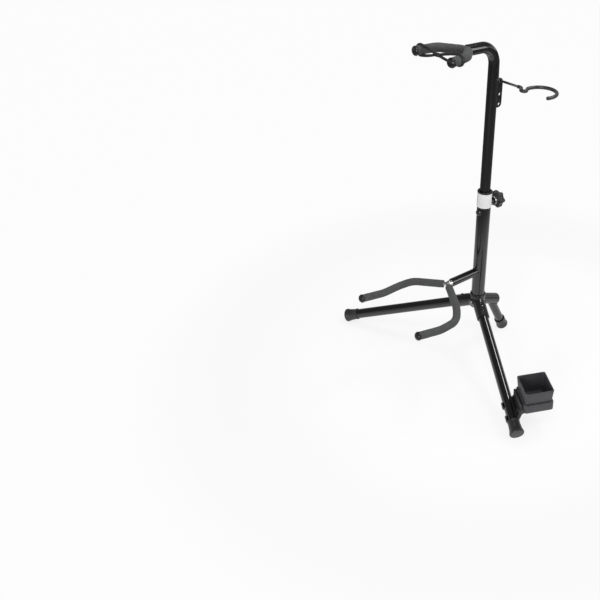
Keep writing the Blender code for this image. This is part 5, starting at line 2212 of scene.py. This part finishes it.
@dataclass(frozen=True)
class PhotoCamera:
    """The camera that took the photograph, solved from its picture of the stand."""

    azimuth: float = radians(43.67)
    elevation: float = radians(28.47)
    roll: float = radians(1.51)
    distance: float = 1.1886
    aim_height: float = 0.25
    focal_pixels: float = 779.92
    centre_pixel: tuple[float, float] = (479.75, 210.4)
    picture_pixels: float = 600.0
    sensor_mm: float = 36.0

    def build(self, layout: Layout) -> None:
        """Makes the camera and gives it to the scene.

        Args:
            layout: the stand's layout, whose hub the camera's aim stands over.
        """
        back, right = bearing(self.azimuth, self.elevation), spoke(self.azimuth)
        up = back.cross(right)
        turned_right = right * cos(self.roll) + up * sin(self.roll)
        turned_up = up * cos(self.roll) - right * sin(self.roll)
        target = Vector((layout.hub.x, layout.hub.y, self.aim_height))
        turn = Matrix((turned_right, turned_up, back)).transposed()
        data = bpy.data.cameras.new("photo_camera")
        data.sensor_fit = "HORIZONTAL"
        data.sensor_width = self.sensor_mm
        data.lens = self.focal_pixels / self.picture_pixels * self.sensor_mm
        half = self.picture_pixels / 2
        data.shift_x = (half - self.centre_pixel[0]) / self.picture_pixels
        data.shift_y = (self.centre_pixel[1] - half) / self.picture_pixels
        data.clip_start, data.clip_end = 0.01, 60.0
        camera = linked("photo_camera", data)
        camera.matrix_world = Matrix.Translation(target + back * self.distance) @ turn.to_4x4()
        bpy.context.scene.camera = camera


@dataclass
class Studio:
    """A pale floor, a white surround and soft lamps."""

    floor_half: float = 12.0
    floor_level: float = -0.0002
    floor_near: Colour = (0.90, 0.90, 0.90)
    floor_far: Colour = (0.20, 0.20, 0.20)
    near_reach: float = 0.24
    far_reach: float = 0.56
    white_near: float = 0.80
    white_far: float = 0.97
    surround: float = 0.52
    zenith: float = 0.14
    horizon: tuple[float, float] = (-0.02, 0.36)
    lamp_aim: float = 0.2
    lamps: tuple[SoftBox, ...] = (
        SoftBox("key_lamp", 30.0, 15.0, 1.8, 0.40, 0.46, 10.0),
        SoftBox("rear_lamp", 170.0, 61.0, 1.45, 0.46, 0.32, 5.0),
        SoftBox("rear_side_lamp", 124.0, 22.0, 1.6, 0.80, 0.80, 6.0),
        SoftBox("top_lamp", 38.0, 62.0, 1.8, 0.60, 0.60, 6.5),
    )

    def build(self, layout: Layout) -> None:
        """Makes the studio round the stand.

        Args:
            layout: the stand's layout.
        """
        bpy.context.scene.view_settings.view_transform = "Standard"
        self.build_floor(layout.hub)
        self.build_surround()
        for lamp in self.lamps:
            lamp.build(Vector((layout.hub.x, layout.hub.y, self.lamp_aim)))
        PhotoCamera().build(layout)

    def build_floor(self, middle: Vector) -> None:
        """A matte white sheet under the stand, which is dark far away where only gloss sees it.

        Args:
            middle: the point that the sheet lies under.
        """
        half, level = self.floor_half, self.floor_level
        shape = bmesh.new()
        spots = ((-half, -half), (half, -half), (half, half), (-half, half))
        shape.faces.new([shape.verts.new((x, y, level)) for x, y in spots])
        floor = linked("studio_floor", written("studio_floor", shape))
        graph = MaterialGraph("pale_floor")
        where = graph.value("ShaderNodeTexCoord", {}, {}, "Object")
        inputs = {0: where, 1: (middle.x, middle.y, 0.0)}
        reach = graph.value("ShaderNodeVectorMath", {"operation": "DISTANCE"}, inputs, "Value")
        far = reach.step(self.near_reach, self.far_reach)
        colour = graph.blend(far, self.floor_near, self.floor_far)
        graph.dress(base_color=colour, roughness=0.9, specular_ior_level=0.0)
        share = graph.ray("Camera") * (far * (self.white_far - self.white_near) + self.white_near)
        share = share + graph.ray("Glossy") * (1.0 - far) * self.white_near
        white = graph.value("ShaderNodeEmission", {}, {"Color": WHITE})
        sheet = Value(graph, graph.shader.outputs[0])
        both = graph.value("ShaderNodeMixShader", {}, {0: share, 1: sheet, 2: white})
        graph.feed(graph.tree.nodes["Material Output"].inputs["Surface"], both)
        floor.data.materials.append(graph.material)

    def build_surround(self) -> None:
        """A world that is white where seen, white to the horizon in gloss, and soft as a light."""
        world = bpy.data.worlds.new("white_surround")
        bpy.context.scene.world = world
        world.use_nodes = True
        graph = Graph(world.node_tree)
        where = graph.value("ShaderNodeTexCoord", {}, {}, "Generated")
        height = graph.value("ShaderNodeSeparateXYZ", {}, {0: where}, "Z")
        graded = height.ranged((1.0, self.zenith), self.horizon)
        inputs = {0: graph.ray("Glossy"), 1: graph.ray("Transmission")}
        either = graph.value("ShaderNodeMath", {"operation": "MAXIMUM"}, inputs)
        mirrored = either.ranged((self.surround, graded))
        sky = graph.tree.nodes["Background"]
        graph.feed(sky.inputs["Color"], WHITE)
        graph.feed(sky.inputs["Strength"], graph.ray("Camera").ranged((mirrored, 1.0)))


def write_sizes() -> None:
    """Brings the scene's view layer up to date."""
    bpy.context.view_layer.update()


def main() -> None:
    """Builds the stand's looks and the studio."""
    logging.basicConfig(level=logging.INFO, format="%(message)s")
    layout = Layout.from_joints(frame["joints"])
    Studio().build(layout)
    shop = Workshop(layout)
    for part in (Base(), FrontLegs(), ClampKnob(), Cradle(), Yoke(), BowHook(), BowBox()):
        LOG.info("making %s", type(part).__name__)
        part.build(shop)
    write_sizes()


if __name__ == "__main__":
    main()
